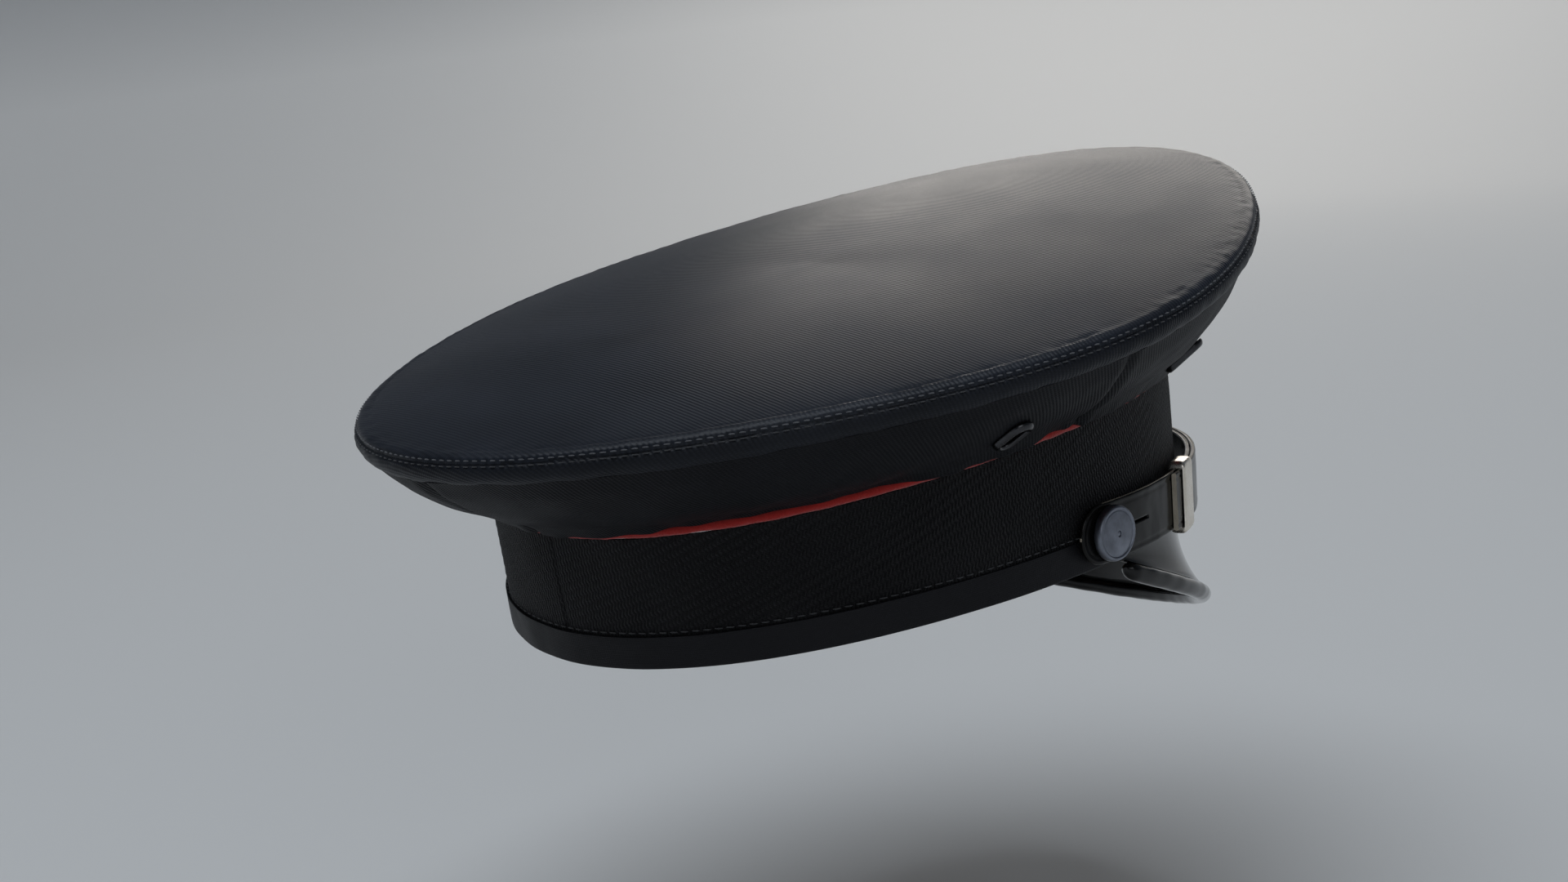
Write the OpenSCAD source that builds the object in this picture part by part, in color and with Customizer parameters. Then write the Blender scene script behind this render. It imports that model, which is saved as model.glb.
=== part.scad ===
// Military peaked cap with a flared crown, a woven band, a patent peak and a two-part chin strap.
// Millimetres. +Z is up, the front of the cap faces -Y and the wearer's right side is -X.
// The origin is the centre of the head opening, at the height of the band's bottom edge.
// Around the cap an angle t runs from the front: 0 front, 90 left, 180 back, 270 right.

/* [Crown] */
// Half the width of the crown, to the middle of its rolled rim
rim_half_w = 114.5; // [110:0.5:120]
// Half the length of the crown, to the middle of its rolled rim
rim_half_l = 139.9; // [134:0.1:146]
// How far the middle of the rim lies behind the middle of the head opening
rim_back = 0.5; // [0:0.1:3]
// Height of the rim's middle above the head opening
rim_z = 72; // [69:0.1:76]
// How much higher the rim stands at the front than at its middle
rim_rise = 15.2; // [11:0.1:18]
// How far the rim's sides dip below a flat plane
rim_dip = 2.4; // [0:0.1:3]
// How far the front of the rim turns up and its back turns down
rim_turn = 0.8; // [0:0.1:2]
// How pointed the oval of the rim is at front and back
rim_point = 0.06; // [0:0.005:0.1]
// How round the oval of the rim is at its sides
rim_side_round = 0.005; // [0:0.005:0.02]
// Height that the top panel is domed
top_dome = 8.9; // [1:0.1:10]
// How far the side wall bulges out
wall_bulge = 2.5; // [0:0.5:4]
// Thickness of the crown cloth
cloth_t = 1.2; // [0.8:0.1:1.4]
// Radius of the rolled rim
welt_r = 4; // [3:0.1:4.2]
// Radius of the spring wire hoop in the rim
hoop_r = 1.2; // [0.8:0.1:1.4]

/* [Band] */
// Half the width of the band at its bottom edge
band_half_w = 86.5; // [82:0.5:90]
// Half the length of the band at its bottom edge
band_half_l = 103; // [98:0.5:108]
// Height of the waist, where crown and band meet
waist_z = 40.3; // [36:0.1:42]
// How much higher the waist stands at the front than at its middle
waist_rise = 5.1; // [3:0.1:7]
// How much higher the waist stands at the sides than at its middle
waist_arch = 2.5; // [0:0.1:4]
// How much higher the bottom edge stands at the sides than at its middle
bottom_arch = 3.6; // [0:0.1:5]
// Radius of the red piping at the waist
piping_r = 1.3; // [1:0.1:1.6]
// Height of the smooth binding round the bottom of the band
binding_h = 8.2; // [5:0.1:10]
// Bore radius of the badge eyelet at the front of the band
badge_bore_r = 2.2; // [1.5:0.1:2.4]
// Height of the badge eyelet above the head opening
badge_z = 29; // [26:0.5:33]

/* [Peak] */
// Length of the peak at the front, without its edge
peak_l = 35; // [28:0.5:42]
// Angle from the front to each corner of the peak
peak_corner = 79; // [70:0.5:80]
// Slope of the peak below level at the front
peak_slope = 77; // [60:0.5:80]
// How far the middle of the peak is hollowed
peak_hollow = 3; // [0:0.5:4]
// Radius of the rolled edge of the peak
edge_r = 2.6; // [1.8:0.1:3]

/* [Chin strap] */
// Width of the strap
strap_w = 16; // [14:0.5:17]
// Thickness of one layer of the strap
strap_t = 1.4; // [1:0.1:1.5]
// Half the width across the strap, to the middle of its two layers
strap_half_w = 90.2; // [90:0.1:92]
// Distance from the cap's middle to the strap's front
strap_half_l = 110; // [109:0.1:112]
// Radius of the strap's front curve
strap_front_r = 78; // [76:0.5:79]
// Slope of the strap down to the front
strap_tilt = 3.1; // [0:0.1:4]
// Angle along the strap's side curve from the cap's cross axis to the keeper
keeper_at = 25.5; // [24:0.5:28]
// Width of the keeper along the strap
keeper_w = 10; // [8:0.5:11]

/* [Side buttons] */
// Distance of the button's axis in front of the cap's middle
button_front = 8; // [4:0.5:12]
// Height of the button's axis
button_z = 12.5; // [11:0.5:14]
// Radius of the button's head
button_r = 7.5; // [6:0.5:8]
// Radius of the button's shank
shank_r = 2.05; // [1.5:0.05:2.3]

/* [Vent eyelets] */
// Length of the oval eyelet
eyelet_l = 13; // [11:0.5:14]
// Height of the oval eyelet
eyelet_h = 7.5; // [7:0.5:9]

/* [Hidden] */
$fn = 64;
around = 72;             // steps round a full loop
quarter = 18;            // steps round one crown panel
gap = 0.1;               // room between layers that lie on each other
waist_half_w = band_half_w + 0.1;
waist_half_l = band_half_l + 1.6;
stiffener_t = 1;
sweatband_t = 1;
sweatband_in = 3.5;      // depth of the sweatband's outer face behind the band's outer face
binding_t = 0.6;
lining_t = 0.6;
lining_in = 3.2;         // depth of the lining behind the crown cloth's outer face
stay_t = 1.1;
stay_half_angle = 22;
top_edge_up = 1.6;       // the top panel's edge, above the rim's middle line
reed_r = 0.8;
wall_top_out = 1;        // the wall's top edge, outward of the rim's middle line
wall_top_down = 5.2;     // the wall's top edge, below the rim's middle line
seam_waist = 90;         // angle of the side seams at the waist
seam_lean = 4;           // how much further back they stand at the rim
peak_under_t = 0.7;
peak_top_t = 1;
peak_drop = 0.8;         // top edge of the peak below the band's bottom edge
peak_back = 0.6;         // top edge of the peak behind the band's outer face
corner_slope = 72;
peak_fullness = 0.92;    // power that shapes the front of the peak
peak_run_out = 1.4;      // degrees past its corner at which the peak's length would reach nothing
strap_r = (pow(strap_half_w, 2) + pow(strap_half_l - strap_front_r, 2) - pow(strap_front_r, 2))
          / (2 * (strap_half_w - strap_front_r));
strap_centre = strap_r - strap_half_w;
strap_bend = atan2(strap_half_l - strap_front_r, strap_centre);
layer_mid = 0.8;         // from the middle of the two layers to the middle of one
strap_end = keeper_at - 4.5;
tab_back = 11;           // tab end behind the button's axis
strap_hole_r = shank_r + 0.07;
band_hole_r = shank_r + 0.1;
keeper_room = 0.3;       // free space between the strap and the keeper
keeper_t = 0.7;
keeper_end_t = 1.9;
button_rim_t = 1.2;
button_dome = 2.2;
button_room = 0.5;       // free space between the button's head and the strap
washer_t = 0.5;
washer_r = 3.8;
washer_face = 83.6;      // outer face of the button's washer, from the cap's middle
eyelet_t = 1.2;
eyelet_wall = 0.7;
eyelet_slot_l = 9;
eyelet_slot_h = 3.5;
eyelet_lift = 0.35;      // room between the eyelet's flat rim and the curved cloth
front_vent = [64, 0.3, 75];    // angle, share of the wall's height, slope of the long axis
back_vent = [108, 0.5, 75];
navy = [0.06, 0.065, 0.08];
black = [0.03, 0.03, 0.032];
red = [0.6, 0.06, 0.05];
patent = [0.02, 0.02, 0.02];
nickel = [0.75, 0.72, 0.66];
gunmetal = [0.25, 0.26, 0.3];
tan = [0.35, 0.22, 0.13];

// ---- Loops of the cap ----

function flatten(list) = [for (item = list) each item];
function mix(a, b, share) = a + (b - a) * share;
function unit(v) = v / norm(v);

// Middle line of the rolled rim
function rim(t) = [
    rim_half_w * (sin(t) + rim_side_round * sin(3 * t)) / (1 - rim_side_round),
    rim_back - rim_half_l * (cos(t) + rim_point * cos(3 * t)) / (1 + rim_point),
    rim_z + rim_rise * cos(t) + rim_dip * cos(2 * t) + rim_turn * cos(3 * t)];

// Level directions along and out of the rim
function rim_along(t) = unit([
    rim_half_w * (cos(t) + 3 * rim_side_round * cos(3 * t)) / (1 - rim_side_round),
    rim_half_l * (sin(t) + 3 * rim_point * sin(3 * t)) / (1 + rim_point),
    0]);
function rim_outward(t) = [rim_along(t)[1], -rim_along(t)[0], 0];

// Line where crown and band meet
function waist(t) = [
    waist_half_w * sin(t),
    0.75 - waist_half_l * cos(t),
    waist_z + waist_rise * cos(t) - waist_arch * cos(2 * t)];

// Bottom edge of the band
function bottom(t) = [
    band_half_w * sin(t),
    -band_half_l * cos(t),
    -0.7 * cos(t) - bottom_arch * cos(2 * t)];

// Level directions along and out of the band
function along(t) = unit([band_half_w * cos(t), band_half_l * sin(t), 0]);
function outward(t) = [along(t)[1], -along(t)[0], 0];

// A point of the band, h above its bottom edge and d behind its outer face
function band(t, h, d) = mix(bottom(t), waist(t), h / (waist(t)[2] - bottom(t)[2])) - d * outward(t);
function band_height(t) = waist(t)[2] - bottom(t)[2];

// A point of the crown's wall, at a share v of its height and d behind its outer face
function wall_foot(t) = waist(t) + 0.6 * outward(t) + [0, 0, 1.7];
function wall_head(t) = rim(t) + wall_top_out * rim_outward(t) - [0, 0, wall_top_down];
function wall_normal(t) = unit(cross(along(t) + rim_along(t), wall_head(t) - wall_foot(t)));
function wall(t, v, d) = mix(wall_foot(t), wall_head(t), v)
    + (wall_bulge * 4 * v * (1 - v) - d) * wall_normal(t);

// A point of the top panel, at a share u of the way out to the rim and d below its upper face
function top(t, u, d) = [
    rim(t)[0] * u,
    rim_back + (rim(t)[1] - rim_back) * u,
    mix(rim_z, rim(t)[2], u) + top_edge_up + top_dome * (1 - pow(u, 3)) - d];

// A point of the peak, at a share s of its length and d under its upper face
function peak_share(t) = pow(cos(90 * t / (peak_corner + peak_run_out)), peak_fullness);
function peak_angle(t) = mix(corner_slope, peak_slope, peak_share(t));
function peak_down(t) = outward(t) * cos(peak_angle(t)) - [0, 0, sin(peak_angle(t))];
function peak_up(t) = outward(t) * sin(peak_angle(t)) + [0, 0, cos(peak_angle(t))];
function peak(t, s, d) = band(t, -peak_drop, peak_back)
    + peak_l * peak_share(t) * s * peak_down(t)
    - (peak_hollow * peak_share(t) * 4 * s * (1 - s) + d) * peak_up(t);

// ---- Solids from rows of points ----

// Joins equal outlines, one after the other, into a solid
module loft(outlines, closed = false) {
    n = len(outlines);
    m = len(outlines[0]);
    walls = [for (i = [0 : closed ? n - 1 : n - 2]) for (j = [0 : m - 1])
        let (a = i * m + j)
        let (b = i * m + (j + 1) % m)
        let (c = ((i + 1) % n) * m + (j + 1) % m)
        let (e = ((i + 1) % n) * m + j)
        each [[a, b, c], [a, c, e]]];
    last = (n - 1) * m;
    ends = closed ? [] : [for (j = [0 : m / 2 - 2])
        each [[j, m - 2 - j, j + 1], [j, m - 1 - j, m - 2 - j],
              [last + j, last + j + 1, last + m - 2 - j], [last + j, last + m - 2 - j, last + m - 1 - j]]];
    polyhedron(points = flatten(outlines), faces = concat(walls, ends), convexity = 10);
}

// A closed bowl or dish: two stacks of rings, each ending in a middle point
module dish(outer_rings, outer_middle, inner_rings, inner_middle) {
    n = len(outer_rings[0]);
    k = len(outer_rings);
    rings = concat(outer_rings, [for (i = [k - 1 : -1 : 0]) inner_rings[i]]);
    first = 2 * k * n;
    sides = [for (i = [0 : 2 * k - 2]) for (j = [0 : n - 1])
        let (a = i * n + j)
        let (b = i * n + (j + 1) % n)
        each [[a, b, b + n], [a, b + n, a + n]]];
    middles = [for (j = [0 : n - 1])
        each [[first, (j + 1) % n, j],
              [first + 1, (2 * k - 1) * n + j, (2 * k - 1) * n + (j + 1) % n]]];
    polyhedron(points = concat(flatten(rings), [outer_middle, inner_middle]),
               faces = concat(sides, middles), convexity = 10);
}

// The angles of a full loop
function loop_angles() = [for (i = [0 : around - 1]) 360 * i / around];

// A round tube that follows middle points, given the level direction out of the cap at each
module tube_round(middles, outs, r, sides) {
    loft([for (i = [0 : len(middles) - 1])
        [for (k = [0 : sides - 1])
            middles[i] + r * (cos(360 * k / sides) * outs[i] - [0, 0, sin(360 * k / sides)])]], true);
}
function rim_outs() = [for (t = loop_angles()) rim_outward(t)];
function band_outs() = [for (t = loop_angles()) outward(t)];

// ---- Crown ----

module crown_top() {
    shares = [0.12, 0.3, 0.5, 0.7, 0.85, 0.93];
    edge_in = welt_r + gap;
    edge = [for (t = loop_angles()) rim(t) - edge_in * rim_outward(t) + [0, 0, top_edge_up]];
    color(navy)
    dish(concat([for (u = shares) [for (t = loop_angles()) top(t, u, 0)]], [edge]),
         top(0, 0, 0),
         concat([for (u = shares) [for (t = loop_angles()) top(t, u, cloth_t)]],
                [[for (p = edge) p - [0, 0, cloth_t]]]),
         top(0, 0, cloth_t));
}

// Side seam of the crown at a share v of the wall's height, as an angle on the left side
function side_seam(v) = seam_waist + seam_lean * v;

// One quarter of the crown's wall, on the left, with the hole for its vent eyelet
module crown_panel(front) {
    shares = [0, 0.15, 0.35, 0.55, 0.75, 0.9, 1];
    rows = len(shares) - 1;
    function angle(v, s) = front ? mix(0, side_seam(v), s) : mix(side_seam(v), 180, s);
    difference() {
        loft([for (i = [0 : quarter])
            concat([for (v = shares) wall(angle(v, i / quarter), v, 0)],
                   [for (k = [rows : -1 : 0]) wall(angle(shares[k], i / quarter), shares[k], cloth_t)])]);
        vent_place(front ? front_vent : back_vent) eyelet_barrel_cut();
    }
}

module crown_front_right() {
    color(navy)
    mirror([1, 0, 0]) crown_panel(front = true);
}

module crown_front_left() {
    color(navy)
    crown_panel(front = true);
}

module crown_back_right() {
    color(navy)
    mirror([1, 0, 0]) crown_panel(front = false);
}

module crown_back_left() {
    color(navy)
    crown_panel(front = false);
}

module crown_welt() {
    color(navy)
    tube_round([for (t = loop_angles()) rim(t)], rim_outs(), welt_r, 10);
}

module crown_hoop() {
    hoop_in = welt_r + hoop_r + 0.3;
    hoop_down = 1.6;
    color(nickel)
    tube_round([for (t = loop_angles()) rim(t) - hoop_in * rim_outward(t) - [0, 0, hoop_down]],
               rim_outs(), hoop_r, 8);
}

module crown_lining() {
    under_top = 5.5;
    shares = [0.15, 0.35, 0.55, 0.75, 0.89];
    heights = [0.84, 0.6, 0.35, 0.1];
    color(black)
    dish(concat([for (u = shares) [for (t = loop_angles()) top(t, u, under_top)]],
                [for (v = heights) [for (t = loop_angles()) wall(t, v, lining_in)]]),
         top(0, 0, under_top),
         concat([for (u = shares) [for (t = loop_angles()) top(t, u, under_top + lining_t)]],
                [for (v = heights) [for (t = loop_angles()) wall(t, v, lining_in + lining_t)]]),
         top(0, 0, under_top + lining_t));
}

module front_stay() {
    heights = [0.06, 0.3, 0.55, 0.8];
    steps = 14;
    stay_in = cloth_t + 0.4;
    color(black)
    loft([for (i = [0 : steps])
        let (t = mix(-stay_half_angle, stay_half_angle, i / steps))
        concat([for (v = heights) wall(t, v, stay_in)],
               [for (k = [3 : -1 : 0]) wall(t, heights[k], stay_in + stay_t)])]);
}

// ---- Band ----

module waist_piping() {
    color(red)
    tube_round([for (t = loop_angles()) waist(t) - 0.2 * outward(t)], band_outs(), piping_r, 10);
}

// A wall round the band from one depth to another, between two distances from its edges
module band_wall(foot, head_room, outer, thick) {
    rows = [0, 0.5, 1];
    loft([for (t = loop_angles())
        let (head = band_height(t) - head_room)
        concat([for (s = rows) band(t, mix(foot, head, s), outer)],
               [for (k = [2 : -1 : 0]) band(t, mix(foot, head, rows[k]), outer + thick)])], true);
}

module button_hole_cuts() {
    translate([0, -button_front, button_z])
    rotate([0, 90, 0])
    cylinder(r = band_hole_r, h = 2 * band_half_w + 20, center = true);
}

module badge_hole_cut() {
    translate([0, -band_half_l, badge_z])
    rotate([90, 0, 0])
    cylinder(r = badge_bore_r + 0.5, h = 20, center = true);
}

module band_cover() {
    color(black)
    difference() {
        band_wall(foot = 1.2, head_room = 1.6, outer = 0, thick = cloth_t - gap);
        button_hole_cuts();
        badge_hole_cut();
    }
}

module band_stiffener() {
    color(black)
    difference() {
        band_wall(foot = 1.4, head_room = 1.8, outer = cloth_t, thick = stiffener_t - gap);
        button_hole_cuts();
        badge_hole_cut();
    }
}

module band_binding() {
    under = 0.6;
    outer = -binding_t - gap;
    inner = sweatband_in - 0.3;
    color(black)
    difference() {
        loft([for (t = loop_angles()) [
            band(t, -under, inner),
            band(t, -under, outer),
            band(t, binding_h, outer),
            band(t, binding_h, -gap),
            band(t, under, -gap),
            band(t, under, inner)]], true);
        button_hole_cuts();
    }
}

module sweatband() {
    color(tan)
    band_wall(foot = 1, head_room = 2.6, outer = sweatband_in, thick = sweatband_t);
}

module sweatband_reed() {
    color(tan)
    tube_round([for (t = loop_angles()) band(t, -0.3, sweatband_in + 0.6)], band_outs(), reed_r, 8);
}

module badge_eyelet() {
    flange_r = badge_bore_r + 2.1;
    barrel_r = badge_bore_r + 0.4;
    flange_t = 0.8;
    back_t = 0.6;
    face_y = band_half_l + 1.75;
    eyelet_depth = 4.2;
    color(gunmetal)
    translate([0, -face_y, badge_z])
    rotate([-90, 0, 0])
    rotate_extrude()
    translate([badge_bore_r, 0])
    union() {
        square([flange_r - badge_bore_r, flange_t]);
        square([barrel_r - badge_bore_r, eyelet_depth]);
        translate([0, eyelet_depth - back_t]) square([flange_r - badge_bore_r - back_t, back_t]);
    }
}

// ---- Peak ----

module peak_sheet(upper, thick) {
    steps = 60;
    shares = [0, 0.2, 0.4, 0.6, 0.8, 1];
    loft([for (i = [0 : steps])
        let (t = mix(-peak_corner, peak_corner, i / steps))
        concat([for (k = [5 : -1 : 0]) peak(t, shares[k], upper)],
               [for (s = shares) peak(t, s, upper + thick)])]);
}

module peak_top() {
    color(patent)
    peak_sheet(0, peak_top_t);
}

module peak_underlay() {
    color(patent)
    peak_sheet(peak_top_t + 0.05, peak_under_t);
}

module peak_edge() {
    steps = 60;
    angles = [for (i = [0 : steps]) mix(-peak_corner, peak_corner, i / steps)];
    middle_d = (peak_top_t + peak_under_t) / 2;
    reach = edge_r + gap;
    color(patent)
    loft([for (t = angles)
        [for (k = [0 : 11])
            peak(t, 1, middle_d) + reach * peak_down(t)
            + edge_r * (cos(30 * k) * peak_up(t) + sin(30 * k) * peak_down(t))]]);
}

// ---- Chin strap ----

// Places things in the strap's own frame, whose origin is on the buttons' axis
module strap_frame() {
    translate([0, -button_front, button_z])
    rotate([strap_tilt, 0, 0])
    children();
}

// A stretch of the strap's side curve, on the right, between two angles from the cross axis
module side_arc(from, to, thick, height) {
    translate([strap_centre, button_front, 0])
    rotate([0, 0, 180 + from])
    rotate_extrude(angle = to - from, $fn = 180)
    translate([strap_r - thick / 2, -height / 2])
    square([thick, height]);
}

// A point of the strap where it faces the angle a, from the right side round by the front
function strap_point(a, off) =
    let (side = cos(a) > cos(strap_bend) ? 1 : cos(a) < -cos(strap_bend) ? -1 : 0)
    let (r = (side == 0 ? strap_front_r : strap_r) + off)
    [side * strap_centre - r * cos(a),
     button_front - (side == 0 ? strap_half_l - strap_front_r : 0) - r * sin(a)];

// Half the height of the strap at a distance from its rounded end
function tab_half(from_end) = from_end >= strap_w / 2 ? strap_w / 2
    : sqrt(pow(strap_w / 2, 2) - pow(strap_w / 2 - from_end, 2));

// One half of the strap, with its tab on the right and its free end past the left keeper
module strap_half(off) {
    tab_angle = -asin((tab_back - button_front) / strap_r);
    last = 180 - strap_end;
    tab_steps = [0.3, 1, 2.2, 3.8, 5.8, 8];
    start = tab_angle + 8 / strap_r * 180 / PI;
    run = 56;
    stations = concat([for (d = tab_steps) [tab_angle + d / strap_r * 180 / PI, tab_half(d)]],
                      [for (i = [1 : run]) [mix(start, last, i / run), strap_w / 2]]);
    strap_frame()
    difference() {
        loft([for (s = stations)
            let (inner = strap_point(s[0], off - strap_t / 2))
            let (outer = strap_point(s[0], off + strap_t / 2))
            [[outer[0], outer[1], s[1]], [outer[0], outer[1], -s[1]],
             [inner[0], inner[1], -s[1]], [inner[0], inner[1], s[1]]]]);
        rotate([0, -90, 0]) cylinder(r = strap_hole_r, h = 2 * strap_half_w);
    }
}

module strap_right() {
    color(patent)
    strap_half(-layer_mid);
}

module strap_left() {
    color(patent)
    mirror([1, 0, 0]) strap_half(layer_mid);
}

module keeper() {
    half_angle = asin(keeper_w / 2 / strap_r);
    room_t = 2 * layer_mid + strap_t + 2 * keeper_room;
    room_h = strap_w + 2 * keeper_room;
    strap_frame()
    difference() {
        side_arc(keeper_at - half_angle, keeper_at + half_angle, room_t + 2 * keeper_t,
                 room_h + 2 * keeper_end_t);
        side_arc(keeper_at - half_angle - 1, keeper_at + half_angle + 1, room_t, room_h);
    }
}

module keeper_right() {
    color(nickel)
    keeper();
}

module keeper_left() {
    color(nickel)
    mirror([1, 0, 0]) keeper();
}

// ---- Side buttons ----

// A button on the right, whose head stands off the cap's middle by seat
module side_button(seat) {
    shank_l = seat - washer_face + washer_t;
    dome_r = (pow(button_r - 0.6, 2) + pow(button_dome, 2)) / (2 * button_dome);
    translate([-seat, -button_front, button_z])
    rotate([0, -90, 0])
    union() {
        translate([0, 0, -shank_l]) cylinder(r = shank_r, h = shank_l + 0.5);
        cylinder(r = button_r, h = button_rim_t);
        intersection() {
            translate([0, 0, button_rim_t + button_dome - dome_r]) sphere(r = dome_r, $fn = 96);
            translate([0, 0, button_rim_t - 0.2]) cylinder(r = button_r - 0.6, h = 6);
        }
    }
}

module button_right() {
    color(gunmetal)
    side_button(strap_half_w - layer_mid + strap_t / 2 + button_room);
}

module button_left() {
    color(gunmetal)
    mirror([1, 0, 0]) side_button(strap_half_w + layer_mid + strap_t / 2 + button_room);
}

module button_washer() {
    translate([-washer_face, -button_front, button_z])
    rotate([0, 90, 0])
    difference() {
        cylinder(r = washer_r, h = washer_t - 0.05);
        translate([0, 0, -1]) cylinder(r = shank_r + 0.05, h = 3);
    }
}

module button_washer_right() {
    color(nickel)
    button_washer();
}

module button_washer_left() {
    color(nickel)
    mirror([1, 0, 0]) button_washer();
}

// ---- Vent eyelets ----

// Direction out of the crown's bulged wall at a point of it
function wall_out(t, v) = unit(cross(wall(t + 1, v, 0) - wall(t - 1, v, 0),
                                     wall(t, v + 0.02, 0) - wall(t, v - 0.02, 0)));

// Places a thing on the crown's left wall: Z points out of the cloth and X runs to the front
module vent_place(vent) {
    t = vent[0];
    out = wall_out(t, vent[1]);
    down = unit(cross(out, -along(t)));
    side = cross(down, out);
    at = wall(t, vent[1], 0);
    multmatrix([[side[0], down[0], out[0], at[0]],
                [side[1], down[1], out[1], at[1]],
                [side[2], down[2], out[2], at[2]],
                [0, 0, 0, 1]])
    rotate([0, 0, -vent[2]])
    children();
}

// An oval with straight sides, l long and h high
module oval(l, h) {
    square([l - h, h], center = true);
    translate([-(l - h) / 2, 0]) circle(d = h);
    translate([(l - h) / 2, 0]) circle(d = h);
}

module eyelet_barrel_cut() {
    translate([0, 0, -6])
    linear_extrude(12)
    oval(eyelet_slot_l + 2 * eyelet_wall + 0.2, eyelet_slot_h + 2 * eyelet_wall + 0.2);
}

module vent_eyelet() {
    barrel_in = 2.3;
    difference() {
        union() {
            translate([0, 0, eyelet_lift]) linear_extrude(eyelet_t) oval(eyelet_l, eyelet_h);
            translate([0, 0, -barrel_in]) linear_extrude(barrel_in + eyelet_lift + 0.1)
            oval(eyelet_slot_l + 2 * eyelet_wall, eyelet_slot_h + 2 * eyelet_wall);
        }
        translate([0, 0, -5]) linear_extrude(10) oval(eyelet_slot_l, eyelet_slot_h);
    }
}

module vent_washer() {
    washer_in = 2.25;
    thick = 0.5;
    translate([0, 0, -washer_in])
    linear_extrude(thick)
    difference() {
        oval(eyelet_l - 0.5, eyelet_h - 0.5);
        oval(eyelet_slot_l + 2 * eyelet_wall + 0.1, eyelet_slot_h + 2 * eyelet_wall + 0.1);
    }
}

module vent_eyelet_front_right() {
    color(gunmetal)
    mirror([1, 0, 0]) vent_place(front_vent) vent_eyelet();
}

module vent_eyelet_back_right() {
    color(gunmetal)
    mirror([1, 0, 0]) vent_place(back_vent) vent_eyelet();
}

module vent_eyelet_front_left() {
    color(gunmetal)
    vent_place(front_vent) vent_eyelet();
}

module vent_eyelet_back_left() {
    color(gunmetal)
    vent_place(back_vent) vent_eyelet();
}

module vent_washer_front_right() {
    color(nickel)
    mirror([1, 0, 0]) vent_place(front_vent) vent_washer();
}

module vent_washer_back_right() {
    color(nickel)
    mirror([1, 0, 0]) vent_place(back_vent) vent_washer();
}

module vent_washer_front_left() {
    color(nickel)
    vent_place(front_vent) vent_washer();
}

module vent_washer_back_left() {
    color(nickel)
    vent_place(back_vent) vent_washer();
}

crown_top();
crown_front_right();
crown_front_left();
crown_back_right();
crown_back_left();
crown_welt();
crown_hoop();
crown_lining();
front_stay();
waist_piping();
band_cover();
band_stiffener();
band_binding();
sweatband();
sweatband_reed();
badge_eyelet();
peak_top();
peak_underlay();
peak_edge();
strap_right();
strap_left();
keeper_right();
keeper_left();
button_right();
button_left();
button_washer_right();
button_washer_left();
vent_eyelet_front_right();
vent_eyelet_back_right();
vent_eyelet_front_left();
vent_eyelet_back_left();
vent_washer_front_right();
vent_washer_back_right();
vent_washer_front_left();
vent_washer_back_left();
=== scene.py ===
"""The looks of a military peaked cap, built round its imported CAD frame.

Sizes are in millimetres until a mesh is made. +Z is up, the front of the cap faces -Y and the
wearer's right side is -X. Round the cap an angle t runs from the front: 0 front, 90 left, 180 back.
"""

import math

import bmesh
import bpy
import numpy as np
from mathutils import Matrix, Vector


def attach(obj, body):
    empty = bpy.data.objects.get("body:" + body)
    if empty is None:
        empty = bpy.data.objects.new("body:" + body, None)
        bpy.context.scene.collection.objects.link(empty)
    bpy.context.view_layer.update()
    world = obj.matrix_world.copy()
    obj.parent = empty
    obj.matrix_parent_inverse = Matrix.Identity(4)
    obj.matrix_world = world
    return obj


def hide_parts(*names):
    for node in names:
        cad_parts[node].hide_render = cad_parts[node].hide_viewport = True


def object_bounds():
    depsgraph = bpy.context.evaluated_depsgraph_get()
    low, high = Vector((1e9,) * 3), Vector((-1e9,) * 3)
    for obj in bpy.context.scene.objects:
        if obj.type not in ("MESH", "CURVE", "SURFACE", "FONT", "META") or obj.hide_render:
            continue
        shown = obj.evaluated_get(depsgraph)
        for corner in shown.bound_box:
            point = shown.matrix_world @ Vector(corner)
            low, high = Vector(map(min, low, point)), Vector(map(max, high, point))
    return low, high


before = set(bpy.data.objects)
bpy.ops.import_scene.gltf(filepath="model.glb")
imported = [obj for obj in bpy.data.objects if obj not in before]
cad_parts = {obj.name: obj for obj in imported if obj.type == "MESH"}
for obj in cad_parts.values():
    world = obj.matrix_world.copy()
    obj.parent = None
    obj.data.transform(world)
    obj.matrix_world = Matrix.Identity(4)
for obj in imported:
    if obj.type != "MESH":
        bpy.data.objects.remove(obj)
cad_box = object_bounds()

MM = 0.001
UP = np.array([0.0, 0.0, 1.0])
MAP = "cloth"  # the UV map that every piece carries, in metres along and across the piece

# Rolled rim of the crown
RIM_HALF_W = 114.5
RIM_HALF_L = 139.9
RIM_BACK = 0.5
RIM_Z = 72.0
RIM_RISE = 15.2
RIM_DIP = 2.4
RIM_TURN = 0.8
RIM_POINT = 0.06
RIM_SIDE_ROUND = 0.005
WELT_R = 4.0
TOP_CREST = 10.5  # height of the top panel's middle above the rim's middle line
TOP_ROLL_R = 4.3  # radius at which the top panel turns down over the rim
CREASE_TURN = 32.0  # angle round the rim, up from level, where the top panel is stitched down
ARC_START = 99.0  # angle round the rim at which the panel begins to turn down

# Wall of the crown
WALL_BULGE = 2.5
WALL_TOP_OUT = 1.0
WALL_TOP_DOWN = 5.2
PANEL_R = 105.0  # mean radius at which the panels' lengths are measured
CLOTH_T = 1.2
SEAM_WAIST = 90.0
SEAM_LEAN = 4.0
FRONT_VENT = (64.0, 0.3, 75.0)  # angle, share of the wall's height, slope of the long axis
BACK_VENT = (108.0, 0.5, 75.0)
EYELET_SLOT = (9.0, 3.5)

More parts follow.
